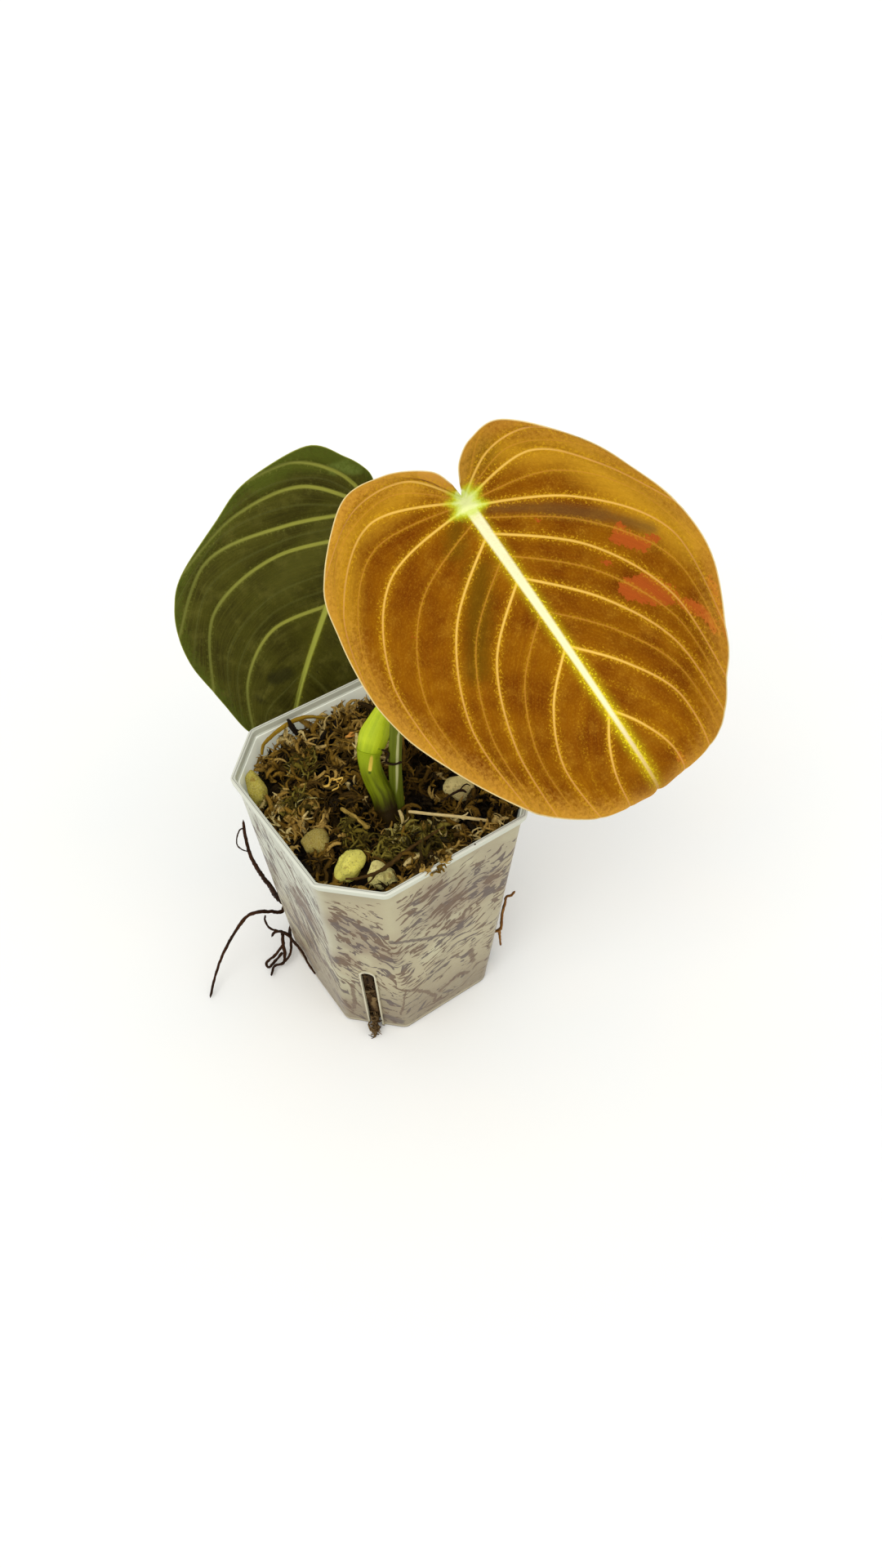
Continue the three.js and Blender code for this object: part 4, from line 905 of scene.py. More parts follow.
def plasticMaterial():
    # Milky plastic with the fibres that press against its inside showing through
    look, p = plasticLook, potShape
    made, shader = newMaterial("milkyPlastic", 0.3, 0.3)
    place = objectMm()
    x, y, z = partsOf(place)
    warm = ease(speckle(scaled(place, (1, 1, 1), (9, 4, 2)), 0.06, 2), 0.5, 0.7)
    pale = highest(0.0, *(strokes(place, spots, half, half * 1.4) for spots, half in look["paleEdges"]))
    left = ease(y, -30.0, -35.0) * ease(x, 27.0, 16.0)
    colour = layered(
        look["wall"], (ease(speckle(place, 0.035, 2), 0.35, 0.65), look["cool"]), (warm * 0.7, look["warm"]),
        (ease(z, 38.0, 4.0, 0.0, 0.75), look["low"]), (pale * 0.4, look["warm"]),
        (left * ease(z, 25.0, 80.0, 0.0, 0.9), look["side"]),
    )

    # How far outside the wall's outline a spot lies: below zero on the pot's inside
    acrossX, acrossY = (calc("ABSOLUTE", value) for value in (x, y))
    half, cut = (
        calc("MULTIPLY_ADD", z, (reachAt(p["height"]) - reachAt(0)) / p["height"], reachAt(0))
        for reachAt in (wallHalf, cutFace)
    )
    outside = highest(highest(acrossX, acrossY) - half, (acrossX + acrossY) * math.sqrt(0.5) - cut)

    # Dashes fall towards the front edge on both of its sides, and wander up and down a little
    fromEdge = highest(y + 24.0, 0.0) * 0.3
    beside = highest(36.0 - x, 0.0) * 1.4
    wander = (speckle(place, 0.05, 2) - 0.5) * 16.0
    lifted = joined(x, y, z + wander - (fromEdge + beside))
    dashes, clumps = (speckle(scaled(lifted, size), 1.0, 3, 0.5, 0.7) for size in look["dashScales"])
    dashes = wire("ShaderNodeMapRange", {0: ease(half - x, 0.6, 0.9), 3: dashes, 4: clumps})
    crowd = highest(0.0, *(strokes(place, [spot], reach / 2, reach / 2) for spot, reach in look["crowded"]))
    clear = highest(ease(z, 34.0, 16.0, 0.0, 0.06) + ease(z, 80.0, 90.0, 0.0, 0.1), pale * 0.3)
    marks = ease(dashes - (0.54 - crowd * 0.1 + clear), -0.01, 0.015) * 0.92 * ease(z, 90.0, 86.0)
    tones = mixed(ease(speckle(place, 0.12, 2), 0.42, 0.58), look["brown"], look["mauve"])
    colour = layered(colour, (crowd * 0.7, look["crowdShade"]), (marks, tones))
    shaken = wire("ShaderNodeTexNoise", {"Vector": place, "Scale": 0.5}, "Color")
    shaken = vectorCalc("MULTIPLY", vectorCalc("SUBTRACT", shaken, (0.5, 0.5, 0.5)), (2, 2, 2))
    shaken = vectorCalc("ADD", place, shaken)
    for spots, halfWidth, shade in look["fibres"]:
        colour = mixed(strokes(shaken, spots, halfWidth, halfWidth * 0.4) * 0.8, colour, look[shade])

    # Borders of the slots, lip with its steps and their painted shade and highlights, inside of the wall
    # painted bright as light through the plastic, and the painted shadow line and pale edge at the foot
    for turn in cornerTurns:
        ends = [onCut(turn, level) for level in (0, p["slotHeight"] - 2)]
        colour = mixed(strokes(place, ends, p["slotWidth"] / 2 + 0.5, 0.3), colour, look["border"])
    colour = mixed(ease(z, 91.0, 91.5), colour, look["rim"])
    # Painted shade under the lip's steps and painted highlights along its ledges
    for level, reach, shade in look["lipLines"]:
        line = ease(calc("ABSOLUTE", z - level), reach, reach * 0.4, 0.0, 0.8)
        colour = mixed(line * ease(outside, 0.0, 0.3), colour, look[shade])
    # A dark ring on the lip's top: painted shade, for a groove that the shape lacks
    groove = ease(calc("ABSOLUTE", outside - 0.45), 0.2, 0.08, 0.0, 0.7)
    # The inside of the wall above the moss is painted pale and given a glow, as light that comes through the
    # clear plastic
    within = ease(outside, -0.5, -0.65) * ease(z, 60.0, 86.0)
    # The wall below about a millimetre is painted dark, a painted shadow where the pot meets the floor
    colour = layered(
        colour, (groove * ease(z, 94.7, 94.9), look["step"]), (within, look["inside"]),
        (ease(z, 2.6, 1.6, 0.0, 0.5), look["foot"]), (ease(z, 1.1, 0.8), look["footShadow"]),
    )
    scratches = speckle(scaled(place, (0.6, 0.6, 3.0)), 1.0, 3)
    feed(shader.inputs, {
        "Base Color": colour, "Roughness": ease(scratches, 0.3, 0.7, 0.28, 0.45),
        "Emission Color": mixed(within, "#000000", look["insideGlow"]), "Emission Strength": 0.3,
    })
    bumped(shader, marks * 0.3 + scratches * 0.2, 0.0003, 0.5)
    return made


makePot(plasticMaterial())
print("pot made")

# Stem, petioles, roots and litter: limbs with a ring swept along a path

plainLimb = {
    "roughness": 0.5, "specular": 0.1, "round": 2.5, "along": 0.08, "blotch": 0.3, "rings": 0.2,
    "depth": 0.0002, "ends": [], "marks": [],
}


def limbMaterial(name, settings):
    look = {**plainLimb, **settings}
    made, shader = newMaterial(name, look["roughness"], look["specular"])
    lay = attribute("lay", "Vector")
    place = objectMm()
    streaks = useGroup(streakGroup, lay, look["round"], look["along"])
    grain = useGroup(grainGroup, place, look["blotch"], 2.5)
    colour = mixed(streaks["Streak"], look["dark"], look["light"])
    colour = mixed(grain["Blotch"] * 0.35, colour, look["blotchShade"])
    for shade, start, end, ragged in look["ends"]:
        along = partsOf(lay)[2] + streaks["Streak"] * ragged
        colour = mixed(ease(along, start, end), colour, shade)
    for shade, spots, half in look["marks"]:
        colour = mixed(strokes(place, spots, half, half * 0.3) * 0.9, colour, shade)
    feed(shader.inputs, {"Base Color": colour})
    relief = streaks["Streak"] * 0.6 + grain["Grain"] * 0.4 + streaks["Ring"] * look["rings"]
    bumped(shader, relief, look["depth"], 0.7)
    return made


stemPath = [
    (11.2, -4.6, 81), (9.6, -4.7, 86), (8, -4.6, 88.5), (5.2, -4.2, 92.8), (2.6, -4.4, 95.8),
    (0.6, -4.4, 98.8), (-1.4, -3.8, 102.4), (-2.2, -2.8, 105),
]
newPetiolePath = [
    (-2.2, -2.8, 104.6), (-2.42, -2.2, 105.8), (-2.9, -0.9, 108), (-3.3, 0.9, 111), (-3.4, 3, 115),
    (-2.6, 6, 120), (-2, 12.4, 133), (-2.4, 21, 150), (-5, 29.6, 165), (-3.7, 33.6, 172.4),
    (-0.9, 32.3, 176.9), (1.0, 30.9, 179.2),
]
oldPetiolePath = [
    (8.8, -1, 74), (7.1, 0.4, 82), (6.4, 0.6, 88), (6, 0.9, 104), (5.4, 2.5, 120), (0.2, 6.3, 138),
    (-14, 15, 151.5), (-34, 28, 156), (-48.2, 35.2, 154.2), (-54.6, 37.8, 151.6), (-56, 38, 148.7),
    (-56.2, 36.4, 146),
]
rhizomePath = [(11.4, -4.6, 80.4), (11, -4.5, 74), (8.5, -4, 62), (5.5, -3.5, 50), (3.5, -3, 38)]


# Radius of each limb, and how much its swellings and rings add
girth = {
    "stem": 3.15, "stemBelly": 0.35, "stemFlare": 0.85, "stemScar": 0.15,
    "petioleStart": 2.9, "petioleEnd": 2, "petioleFoot": 1.65, "footSeam": 0.12, "petioleTop": 0.35,
    "oldPetiole": 2.25, "oldThinning": 0.75, "rhizome": 3.5, "rhizomeThinning": 0.9, "rhizomeRings": 0.35,
}


def stemRadius(share):
    # A slim stem with a scar ring, that widens to carry the petiole's foot
    flare = girth["stemFlare"] * min(1, max(0, (share - 0.8) / 0.2)) ** 2
    belly = girth["stemBelly"] * math.sin(math.pi * share)
    return girth["stem"] + belly + flare + girth["stemScar"] * hump(share - 0.3, 0.02)


def newPetioleRadius(share):
    start, end = girth["petioleStart"], girth["petioleEnd"]
    shaft = start + (end - start) * min(1, share * 1.6)
    foot = girth["petioleFoot"] * hump(share - 0.05, 0.07) - girth["footSeam"] * hump(share - 0.012, 0.005)
    return shaft + foot + girth["petioleTop"] * hump(share - 0.95, 0.03)


def oldPetioleRadius(share):
    shaft = girth["oldPetiole"] - girth["oldThinning"] * share**0.7
    return shaft + girth["petioleTop"] * hump(share - 0.96, 0.03)


def rhizomeRadius(share):
    rings = girth["rhizomeRings"] * math.cos(6 * math.pi * share)
    return girth["rhizome"] - girth["rhizomeThinning"] * share + rings


anchorRoots = [
    [(10.5, -4.4, 71), (18, 1, 64), (24, 8, 52)], [(8.6, -4, 63), (4, 6, 56), (2, 16, 44)],
    [(7, -3.8, 56), (14, -8, 46), (17, -15, 34)], [(4.5, -3.2, 43), (0, 4, 32), (-6, 9, 20)],
]

# Each limb: node, slot, skin's name, look, and sweeps as path, radius, sides, steps and settings.
# A look's "ends" are shades that come in along the limb, from and to a length, with their raggedness;
# its "marks" are strokes as shade, spots and half width.
limbs = {
    "greenStem": ("stem", "stem", "stemSkin", {
        "dark": "#5a6206", "light": "#7e8a0c", "blotchShade": "#6a7408", "depth": 0.00025,
        "ends": [("#261a02", 19, 9, 2.0), ("#9aac1a", 19, 27, 0.0)],
        "marks": [("#e8c850", [(0.6, -3.8, 106.3), (1.5, -4.8, 103.7), (2.3, -5.8, 101.6)], 0.55),
                  ("#4a5a10", [(2.5, -6.1, 100.7)], 0.5)],
    }, [(stemPath, stemRadius, 32, 60, {})]),
    "limePetiole": ("petiole_front", "petiole", "limePetioleSkin", {
        "dark": "#acc012", "light": "#c6d61c", "blotchShade": "#d0dc30", "ends": [("#9cb014", 5, 0, 2.0)],
        "roughness": 0.42, "along": 0.03, "depth": 0.00012, "specular": 0.25,
        "marks": [("#7c9014", [(-3.6, -4.8, 109.5), (-1.6, -5, 108.6), (0.4, -3.5, 108.8), (2, -1, 107)],
                   0.22)],
    }, [(newPetiolePath, newPetioleRadius, 32, 120, {})]),
    "olivePetiole": ("petiole_back", "old_petiole", "olivePetioleSkin", {
        "dark": "#565e12", "light": "#6e7820", "blotchShade": "#626c1a", "along": 0.02, "depth": 0.00015,
        "marks": [("#c8c88c", [(6.4, 3.8, 124), (7.4, 1.6, 116.3), (7.7, 0.9, 110.1), (7.8, 0.3, 102.3),
                               (7.6, -0.1, 94.5), (7.2, -0.5, 88.3)], 0.45)],
    }, [(oldPetiolePath, oldPetioleRadius, 24, 130, {"twist": 0.4})]),
    "buriedRhizome": ("rhizome", "rhizome", "rhizomeBark", {
        "dark": "#342408", "light": "#503a12", "blotchShade": "#2c2008", "roughness": 0.85, "rings": 0.8,
    }, [(rhizomePath, rhizomeRadius, 20, 50, {"rough": 0.1})]
       + [(path, taper(1.2, 0.5), 8, 16, {"rough": 0.2}) for path in anchorRoots]),
}


def makeLimbs(pieces):
    for name, (node, slot, skinName, look, sweeps) in pieces.items():
        sweptPiece(name, node, limbMaterial(skinName, look), sweeps)


makeLimbs(limbs)
print("stem and petioles made")

# Roots outside the pot: node, then strands as start radius, end radius and spots

rootPaths = {
    "longRoot": ("root_long_left", [
        (1.0, 0.42, [
            (-0.6, -5.2, 47), (-9, -12, 36), (-18, -18.5, 22), (-25.2, -25.2, 16.4), (-28.2, -29, 15.4),
            (-26, -32, 16), (-25.8, -36.5, 20), (-26.3, -39.4, 21.8), (-27.5, -43.6, 21.9),
            (-27.4, -47.2, 20), (-26.8, -51.4, 16.5), (-26, -55.9, 12), (-24.3, -59.7, 8.5),
            (-21.9, -63.7, 4.5), (-18.2, -67.8, 1.1)]),
    ]),
    "climbingRoot": ("root_climbing_left", [
        (1.6, 0.46, [
            (0.8, -7.6, 42), (-10, -17, 30), (-20, -24, 16), (-25.9, -25.9, 12.4), (-31.2, -29.2, 14.4),
            (-30, -31.4, 21), (-25.6, -33.6, 30), (-22.4, -35.4, 38), (-20.7, -38.6, 50.7),
            (-20.3, -40.6, 62.4), (-21.8, -40.3, 69.8), (-23.2, -39.6, 72.4), (-24.6, -38.8, 74.8)]),
        (0.24, 0.2, [
            (-23, -39.6, 72.6), (-21.8, -41.6, 74.3), (-19.6, -43.9, 74), (-18.9, -44.5, 72),
            (-19.5, -43, 67.5), (-20.4, -40.8, 64)]),
    ]),
    "rootTangle": ("root_tangle_left", [
        (0.9, 0.5, [
            (1, -3.4, 34), (-10, -14, 22), (-19, -22, 9), (-24.8, -24.8, 6.4), (-26.6, -28, 6.2),
            (-23, -31.4, 7.2), (-19.6, -33.7, 10), (-21.4, -35.4, 11.6), (-23, -37.4, 10.8),
            (-23, -38.9, 9)]),
        (0.7, 0.4, [(-21, -35.1, 11.3), (-18.8, -36.6, 8.6), (-16.4, -37.7, 5), (-14.8, -39.4, 2.8),
                    (-15.8, -42.7, 2.2), (-13.5, -45.5, 1.1)]),
        (0.5, 0.5, [(-18.4, -36.8, 8), (-18, -40.4, 5.2), (-18.2, -44.6, 2.8), (-16.9, -44.7, 1.8),
                    (-17, -41.4, 3.2), (-17.2, -38, 5.6)]),
        (0.5, 0.4, [(-23, -31.4, 7), (-18.4, -33.8, 5.4), (-15.4, -36.2, 4.2), (-14.7, -39.2, 3)]),
        (0.45, 0.35, [(-22.2, -36, 11.5), (-24.2, -38.2, 12.4), (-26.4, -38.7, 15.5), (-26.4, -38.2, 18.3)]),
        (0.6, 0.35, [(-21.8, -35.6, 11.4), (-18.6, -34.4, 12.4), (-15.4, -33.8, 11.2), (-9.3, -33.7, 12),
                     (-6, -33.4, 7.8), (-1.5, -33.3, 6.6)]),
    ]),
    "rightRootlets": ("rootlets_right", [
        (0.8, 0.4, [
            (7, 2, 38), (14, 13, 26), (21, 21, 17), (25, 25, 15.6), (27, 27.4, 17.6), (26.6, 28.2, 21),
            (26.9, 28.1, 27), (27.8, 28.4, 34), (28.3, 28.4, 38), (29.8, 29.2, 40), (30.8, 30, 43)]),
        (0.6, 0.3, [(27, 27.4, 18), (26.7, 27.4, 16), (27, 27.5, 11.5), (27.6, 27.6, 7.5)]),
    ]),
}

rootLooks = {
    "rootBark": {"dark": "#1c0e05", "light": "#38200e", "blotchShade": "#553016", "roughness": 0.7,
                 "rings": 0.6, "depth": 0.0003, "along": 0.3, "blotch": 0.12},
    "paleRootBark": {"dark": "#5a3410", "light": "#96642a", "blotchShade": "#b07c34", "roughness": 0.65,
                     "rings": 0.5, "depth": 0.00025, "along": 0.3, "blotch": 0.2},
}


def strandSweeps(strands, tip, stepsEach, settings):
    return [(spots, taper(start, end, tip), 10, stepsEach * len(spots), settings)
            for start, end, spots in strands]


def makeRoots():
    skins = {name: limbMaterial(name, look) for name, look in rootLooks.items()}
    for name, (node, strands) in rootPaths.items():
        skin = skins["paleRootBark" if name == "rightRootlets" else "rootBark"]
        sweeps = strandSweeps(strands, 0.02, 8, {"rough": 0.45})
        sweptPiece(name, node, skin, sweeps, angle=None)


makeRoots()
print("roots made")

# Single bits that catch the eye: shade pair, then strands as start radius, end radius and spots

looseLook = {"roughness": 0.75, "along": 0.3, "round": 2}
looseBits = {
    "goldenTwist": (("#c8922a", "#ffdc74"), [
        (0.45, 0.3, [(-9.7, -17.2, 90.4), (-7.4, -15.6, 91.8), (-8.8, -13.2, 92.2), (-5.6, -11.9, 91.6)]),
        (0.4, 0.2, [(-8.4, -13.4, 91.8), (-6.6, -10.8, 93), (-5.4, -12.8, 92.4)]),
        (0.35, 0.2, [(-7, -12.6, 92), (-4.6, -13.6, 92.4), (-5.4, -15.6, 91.4)]),
        (0.35, 0.15, [(-12.6, -14, 90.6), (-10.4, -13.4, 91.8), (-8.6, -14.4, 91.8)]),
    ]),
    "orangeFlake": (("#b4702a", "#e8a850"), [
        (0.7, 0.9, [(-21, -0.9, 92.8), (-20.4, 1, 93.4), (-20.2, 2.7, 93)]),
    ]),
    "drySheath": (("#7c6424", "#c0a050"), [
        (0.6, 1.5, [(1.5, -16.9, 90.6), (6, -15.6, 90.8), (12.1, -13.1, 88.8)]),
    ]),
    "darkFork": (("#1a1008", "#382412"), [
        (0.4, 0.5, [(15.1, 11.1, 87.4), (16.2, 17.2, 89.6), (18.5, 18.4, 90.4)]),
        (0.4, 0.15, [(16.2, 17, 89.5), (16.4, 19.6, 91.2), (18, 20.2, 91.6)]),
        (0.7, 0.5, [(4.3, -2.6, 110.2), (5.6, -1, 109), (5.6, -1.9, 105.6), (7.8, -1, 105.8),
                    (9.4, 0, 107.2), (10, 1, 107.6)]),
    ]),
}


def makeLooseBits():
    for name, ((dark, light), strands) in looseBits.items():
        look = {"dark": dark, "light": light, "blotchShade": dark, **looseLook}
        sweeps = strandSweeps(strands, 0.08, 12, {"flatten": 0.5, "twist": 2.0, "rough": 0.5})
        sweptPiece(name, None, limbMaterial(name + "Skin", look), sweeps, angle=None)


makeLooseBits()

# Stones on the moss: node, middle, half sizes, turn, tilt, lump seed, shade, pits (spot, reach, depth)

stones = {
    "yellowPumice": ("pumice_front_yellow", (18.2, -24.6, 85.2), (4.3, 5, 3.9), 0.5, 0.2, 1.2, "#faf068", []),
    "pittedPumice": ("pumice_front_pitted", (27.2, -18.4, 85.4), (5, 4.1, 3.3), 0.9, 0.36, 2.7, "#f2e48c",
                     [((29.6, -18.4, 88), 1.0, 1.6)]),
    "olivePumice": ("pumice_left_front", (4.9, -28.4, 85.6), (3.8, 4.4, 3.4), -0.4, -0.16, 4.1,
                    "#a08a34", []),
    "greyPumice": ("pumice_right", (11.6, 20, 85.4), (4.7, 4.4, 3.6), 1.3, 0.52, 5.5, "#ead68c", []),
    "wallPumice": ("pumice_left_wall", (-21.8, -33.4, 89.2), (5.6, 3, 3.4), -0.1, 0.6, 6.3, "#b4a436", []),
}

pumiceLook = {
    # Paler where the grain is high
    "dull": "#8f8040", "paleGrain": "#f4ecb0", "pore": "#5c4f28", "stain": "#8a6424", "poreScale": 1.7,
    # Lumps as height and rate across each axis, then the chips as depth, and coarse and fine share and scale
    "lumps": (0.09, 3.1, 0.08, 2.7, 0.07, 4.3), "chips": (0.09, 2.2, 1.4, 0.4, 5),
}


def pumiceMaterial(name, shade):
    look = pumiceLook
    made, shader = newMaterial(name, 0.9, 0.15)
    place = objectMm()
    grain = useGroup(grainGroup, place, 0.35, 2.4)
    cells = {"Vector": place, "Scale": look["poreScale"], "Randomness": 1.0}
    pore = ease(wire("ShaderNodeTexVoronoi", cells, "Distance"), 0.26, 0.12)
    stain = ease(speckle(place, 0.28, 3, 0.6), 0.58, 0.68)
    # The pores are painted darker: painted shade in the pits that the bump sinks
    feed(shader.inputs, {"Base Color": layered(
        shade, (grain["Blotch"] * 0.6, mixed(0.3, shade, look["dull"])), (grain["Grain"] * 0.2, look["paleGrain"]),
        (pore * 0.55, look["pore"]), (stain * 0.6, look["stain"]),
    )})
    bumped(shader, grain["Grain"] * 0.5 - pore, 0.0004, 0.9)
    return made


def makeStones():
    lumpX, rateX, lumpY, rateY, lumpZ, rateZ = pumiceLook["lumps"]
    chips, coarse, coarseScale, fine, fineScale = pumiceLook["chips"]
    for name, (node, place, size, turn, tilt, seed, shade, pits) in stones.items():
        bm = bmesh.new()
        bmesh.ops.create_icosphere(bm, subdivisions=5, radius=1)
        pose = Matrix.Rotation(turn, 4, "Z") @ Matrix.Rotation(tilt, 4, "Y")
        pose = Matrix.Translation(place) @ pose
        for vert in bm.verts:
            x, y, z = vert.co
            lump = 1 + lumpX * math.sin(rateX * x + seed) + lumpY * math.cos(rateY * y - 2 * seed)
            lump += lumpZ * math.sin(rateZ * z + 3 * seed + 2 * x)
            chip = coarse * noise.noise(vert.co * coarseScale + Vector((seed, 0, 0)))
            chip += fine * noise.noise(vert.co * fineScale)
            chipped = 1 + chips * chip
            vert.co = pose @ Vector([c * lump * chipped * s for c, s in zip(vert.co, size)])
            for spot, reach, depth in pits:
                away = (vert.co - Vector(spot)).length
                vert.co -= (vert.co - Vector(place)).normalized() * depth * float(hump(away, reach))
        finishPiece(bm, name, pumiceMaterial(name + "Skin", shade), node, angle=None)


makeStones()


def spindle(tip, middle):
    return lambda share: tip + (middle - tip) * math.sin(math.pi * share)


def strawRadius(share):
    return (0.5 + 0.3 * hump(share - 0.7, 0.02)) * (0.7 if share in (0, 1) else 1)


# Straw and other litter on the moss
litter = {
    "jointedStraw": ("straw", "straw", "strawSkin", {
        "dark": "#d8bc74", "light": "#f4e0a6", "blotchShade": "#b08c4c", "roughness": 0.6, "along": 0.15,
        "round": 4,
    }, [
        ([(13.6, 0, 89), (20, 5.6, 89.9), (25.9, 11.2, 90.5), (32, 16.5, 91)], strawRadius, 12, 60,
         {"rough": 0.15}),
        ([(26.1, 11.2, 90.9), (26.6, 12.4, 91.8), (26.5, 13.2, 92.2)], taper(0.35, 0.15, 0.1), 6, 8, {}),
    ]),
    "deadStrand": ("dead_strand", "root", "deadStrandSkin", {
        "dark": "#2a1c08", "light": "#4e3814", "blotchShade": "#6a4c1c", "roughness": 0.75, "along": 0.2,
        "round": 3,
    }, [
        ([(24.6, -29.2, 89.6), (26.6, -27, 90.2), (28.6, -20.2, 90.6), (26.8, -9, 90.4), (26, 4.8, 90.8)],
         spindle(0.45, 0.9), 10, 60, {"flatten": 0.7, "rough": 0.5}),
        ([(28.4, -21, 90.5), (30, -24, 90.6), (30.4, -26.6, 90.4)], taper(0.35, 0.15, 0.1), 6, 12,
         {"rough": 0.4}),
    ]),
    "barkSliver": ("bark_sliver", "bark", "barkSkin", {
        "dark": "#0e0b09", "light": "#2a201a", "blotchShade": "#1a1410", "roughness": 0.6, "along": 0.2,
    }, [
        ([(-32.8, -11.2, 88), (-33.7, -12.4, 92.5), (-33.6, -14, 98.4)], spindle(0.5, 1.1), 10, 24,
         {"flatten": 0.55, "rough": 0.5}),
    ]),
    "goldenRoot": ("golden_root", "golden_root", "goldenRootSkin", {
        "dark": "#7a5e0c", "light": "#b08c24", "blotchShade": "#6c4c0c", "roughness": 0.6, "along": 0.15,
    }, [
        ([(-34, -1, 91), (-35.6, -6, 93.2), (-36, -10.6, 94), (-36, -15.6, 93.4), (-35.4, -19.8, 92.6),
          (-34.6, -23.4, 91.4), (-33.4, -25, 89)], spindle(0.45, 0.75), 12, 60, {"rough": 0.25}),
    ]),
}

makeLimbs(litter)
print("stones and litter made")

# Moss: a core painted dark as the shade deep in the moss, under a tangle of leafy strands

mossShape = {
    "level": 86, "seed": 7, "strands": 1050, "core": 72, "coreInset": 1.3, "coreFoot": 2, "lowest": 0.15,
    "strandPath": [(0, 0, 0), (3, 0.2, 0), (7, -0.2, 0.1), (10, 0, 0)],  # as long as its last number
    # Room for the stem (middle and reach), for a stone (times its half size) and beside what lies in view
    "stemRoom": ((9, -3.4), 4.8), "stoneRoom": 1.15, "lineRoom": 2.2,
    # Mounds and hollows: middle, reach and height
    "mounds": [((-20, 4), 19, 4.6), ((-8, -20), 13, 2), ((-30, -12.5), 4, 2), ((16, 8), 9, -5.2),
               ((20, -27), 9, -2.4)],
    "greenPad": ((23.5, -3), (8.5, 13.5), 260),  # middle, reach, strands
    "strayGreen": [((-8.4, -26), (5.5, 4.5), 34), ((-22, -17), (5, 6), 26), ((9, -17), (7, 4.5), 40)],
    # Ranges of height over the moss, length and lift, and how many strands the pad and the pockets lose
    "brown": ((-1.6, 2.0), (6, 12.5), (-0.4, 0.9)), "green": ((-0.8, 1.4), (5, 10), (-0.2, 0.8)),
    "edgeLift": (-0.3, 0.4), "padLoss": 0.4, "pocketLoss": 0.5,
    "spread": 38, "edge": (88, -1.6),  # how far out strands are tried, and the edge's height and growth
    "curl": (0.6, 3.8), "overLip": (94.6, 1.0),  # from this height strands may lean out so far
    # Height adds paleness, partly painted light on the higher strands and partly their faded colour; a pocket
    # takes tone away as painted shade
    "tone": (0.47, 0.2, 0.24, 0.42),  # its middle, what height adds, its spread, and what a pocket takes
    "coreLumps": (2.4, 0.24, 1.4, 0.8, 2.2),  # coarse height and rate, fine ones, and how far it is sunk
    # Girth, branches and their reach
    "strandKinds": ((0.7, 4, 3.4), (0.95, 3, 4), (0.55, 5, 3), (0.8, 4, 4.6), (1.1, 2, 3)),
    # Lines that strands leave in view: straw, sheath, dead strand, golden curl
    "inView": [[(13.6, 0), (32, 16.5)], [(1.5, -16.9), (12.1, -13.1)], [(24.6, -29.2), (28.6, -20.2)],
               [(28.6, -20.2), (26, 4.8)], [(-9, -16), (-6, -12)]],
    # Pockets where strands thin out and are painted dark as shade: middle and reach
    "pockets": [
        ((3, -17), 4.5), ((8, -35.7), 6), ((13.4, -14.2), 5), ((-4, 14), 7), ((8, 9), 8), ((24.7, 20.4), 6),
        ((6.2, 23.7), 7), ((-19.5, -9.2), 4), ((22, -30), 6), ((-27, -19.5), 3.5), ((12, -20), 3.5),
        ((29.5, -8), 5),
    ],
}


def mossHeight(x, y):
    mounds = sum(high * hump(math.dist((x, y), middle), reach) for middle, reach, high in mossShape["mounds"])
    bank = 6 * hump(x - 38, 8) * (1 - hump(y + 26, 11))  # against the right wall
    ripple = 0.7 * math.sin(0.43 * x + 1) * math.cos(0.51 * y) + 0.5 * math.sin(0.9 * y + 0.6 * x)
    return float(mossShape["level"] + mounds + bank + ripple)


def insideReach(angle, z, grow):
    # How far the pot's outline is from the middle in a direction
    half = wallHalf(z) + grow
    leg = wallCorner(z) + grow * (2 - math.sqrt(2))
    c, s = abs(np.cos(angle)), abs(np.sin(angle))
    return np.minimum(half / np.maximum(c, s), (2 * half - leg) / (c + s))


mossShades = {
    "brownMoss": [(0, "#120902"), (0.35, "#5a400c"), (0.62, "#a07a26"), (0.85, "#d8b05a"), (1, "#fce294")],
    "slotFibre": [(0, "#140c06"), (0.35, "#5a4024"), (0.65, "#a08458"), (1, "#d0bc90")],
    "greenMoss": [(0, "#161204"), (0.35, "#4e4208"), (0.65, "#847422"), (0.88, "#b4a448"), (1, "#e0d080")],
}


def mossMaterial(name):
    # Each strand carries its own "tone" from 0, dark, to 1, pale, which holds painted light and shade as well
    # as its colour
    made, shader = newMaterial(name, 0.85, 0.15)
    grain = useGroup(grainGroup, objectMm(), 0.16, 2.2)
    ramp = addNode("ShaderNodeValToRGB", {0: attribute("tone")})
    stops = ramp.color_ramp.elements
    for index, (at, shade) in enumerate(mossShades[name]):
        stop = stops[index] if index < 2 else stops.new(at)
        stop.position = at
        stop.color = paint(shade)
    colour = mixed(grain["Grain"] * 0.35, Wire(ramp.outputs[0]), "#6a5030", "MULTIPLY")
    feed(shader.inputs, {"Base Color": mixed(grain["Blotch"] * 0.2, colour, "#5a4412")})
    bumped(shader, grain["Grain"], 0.0003, 0.8)
    return made


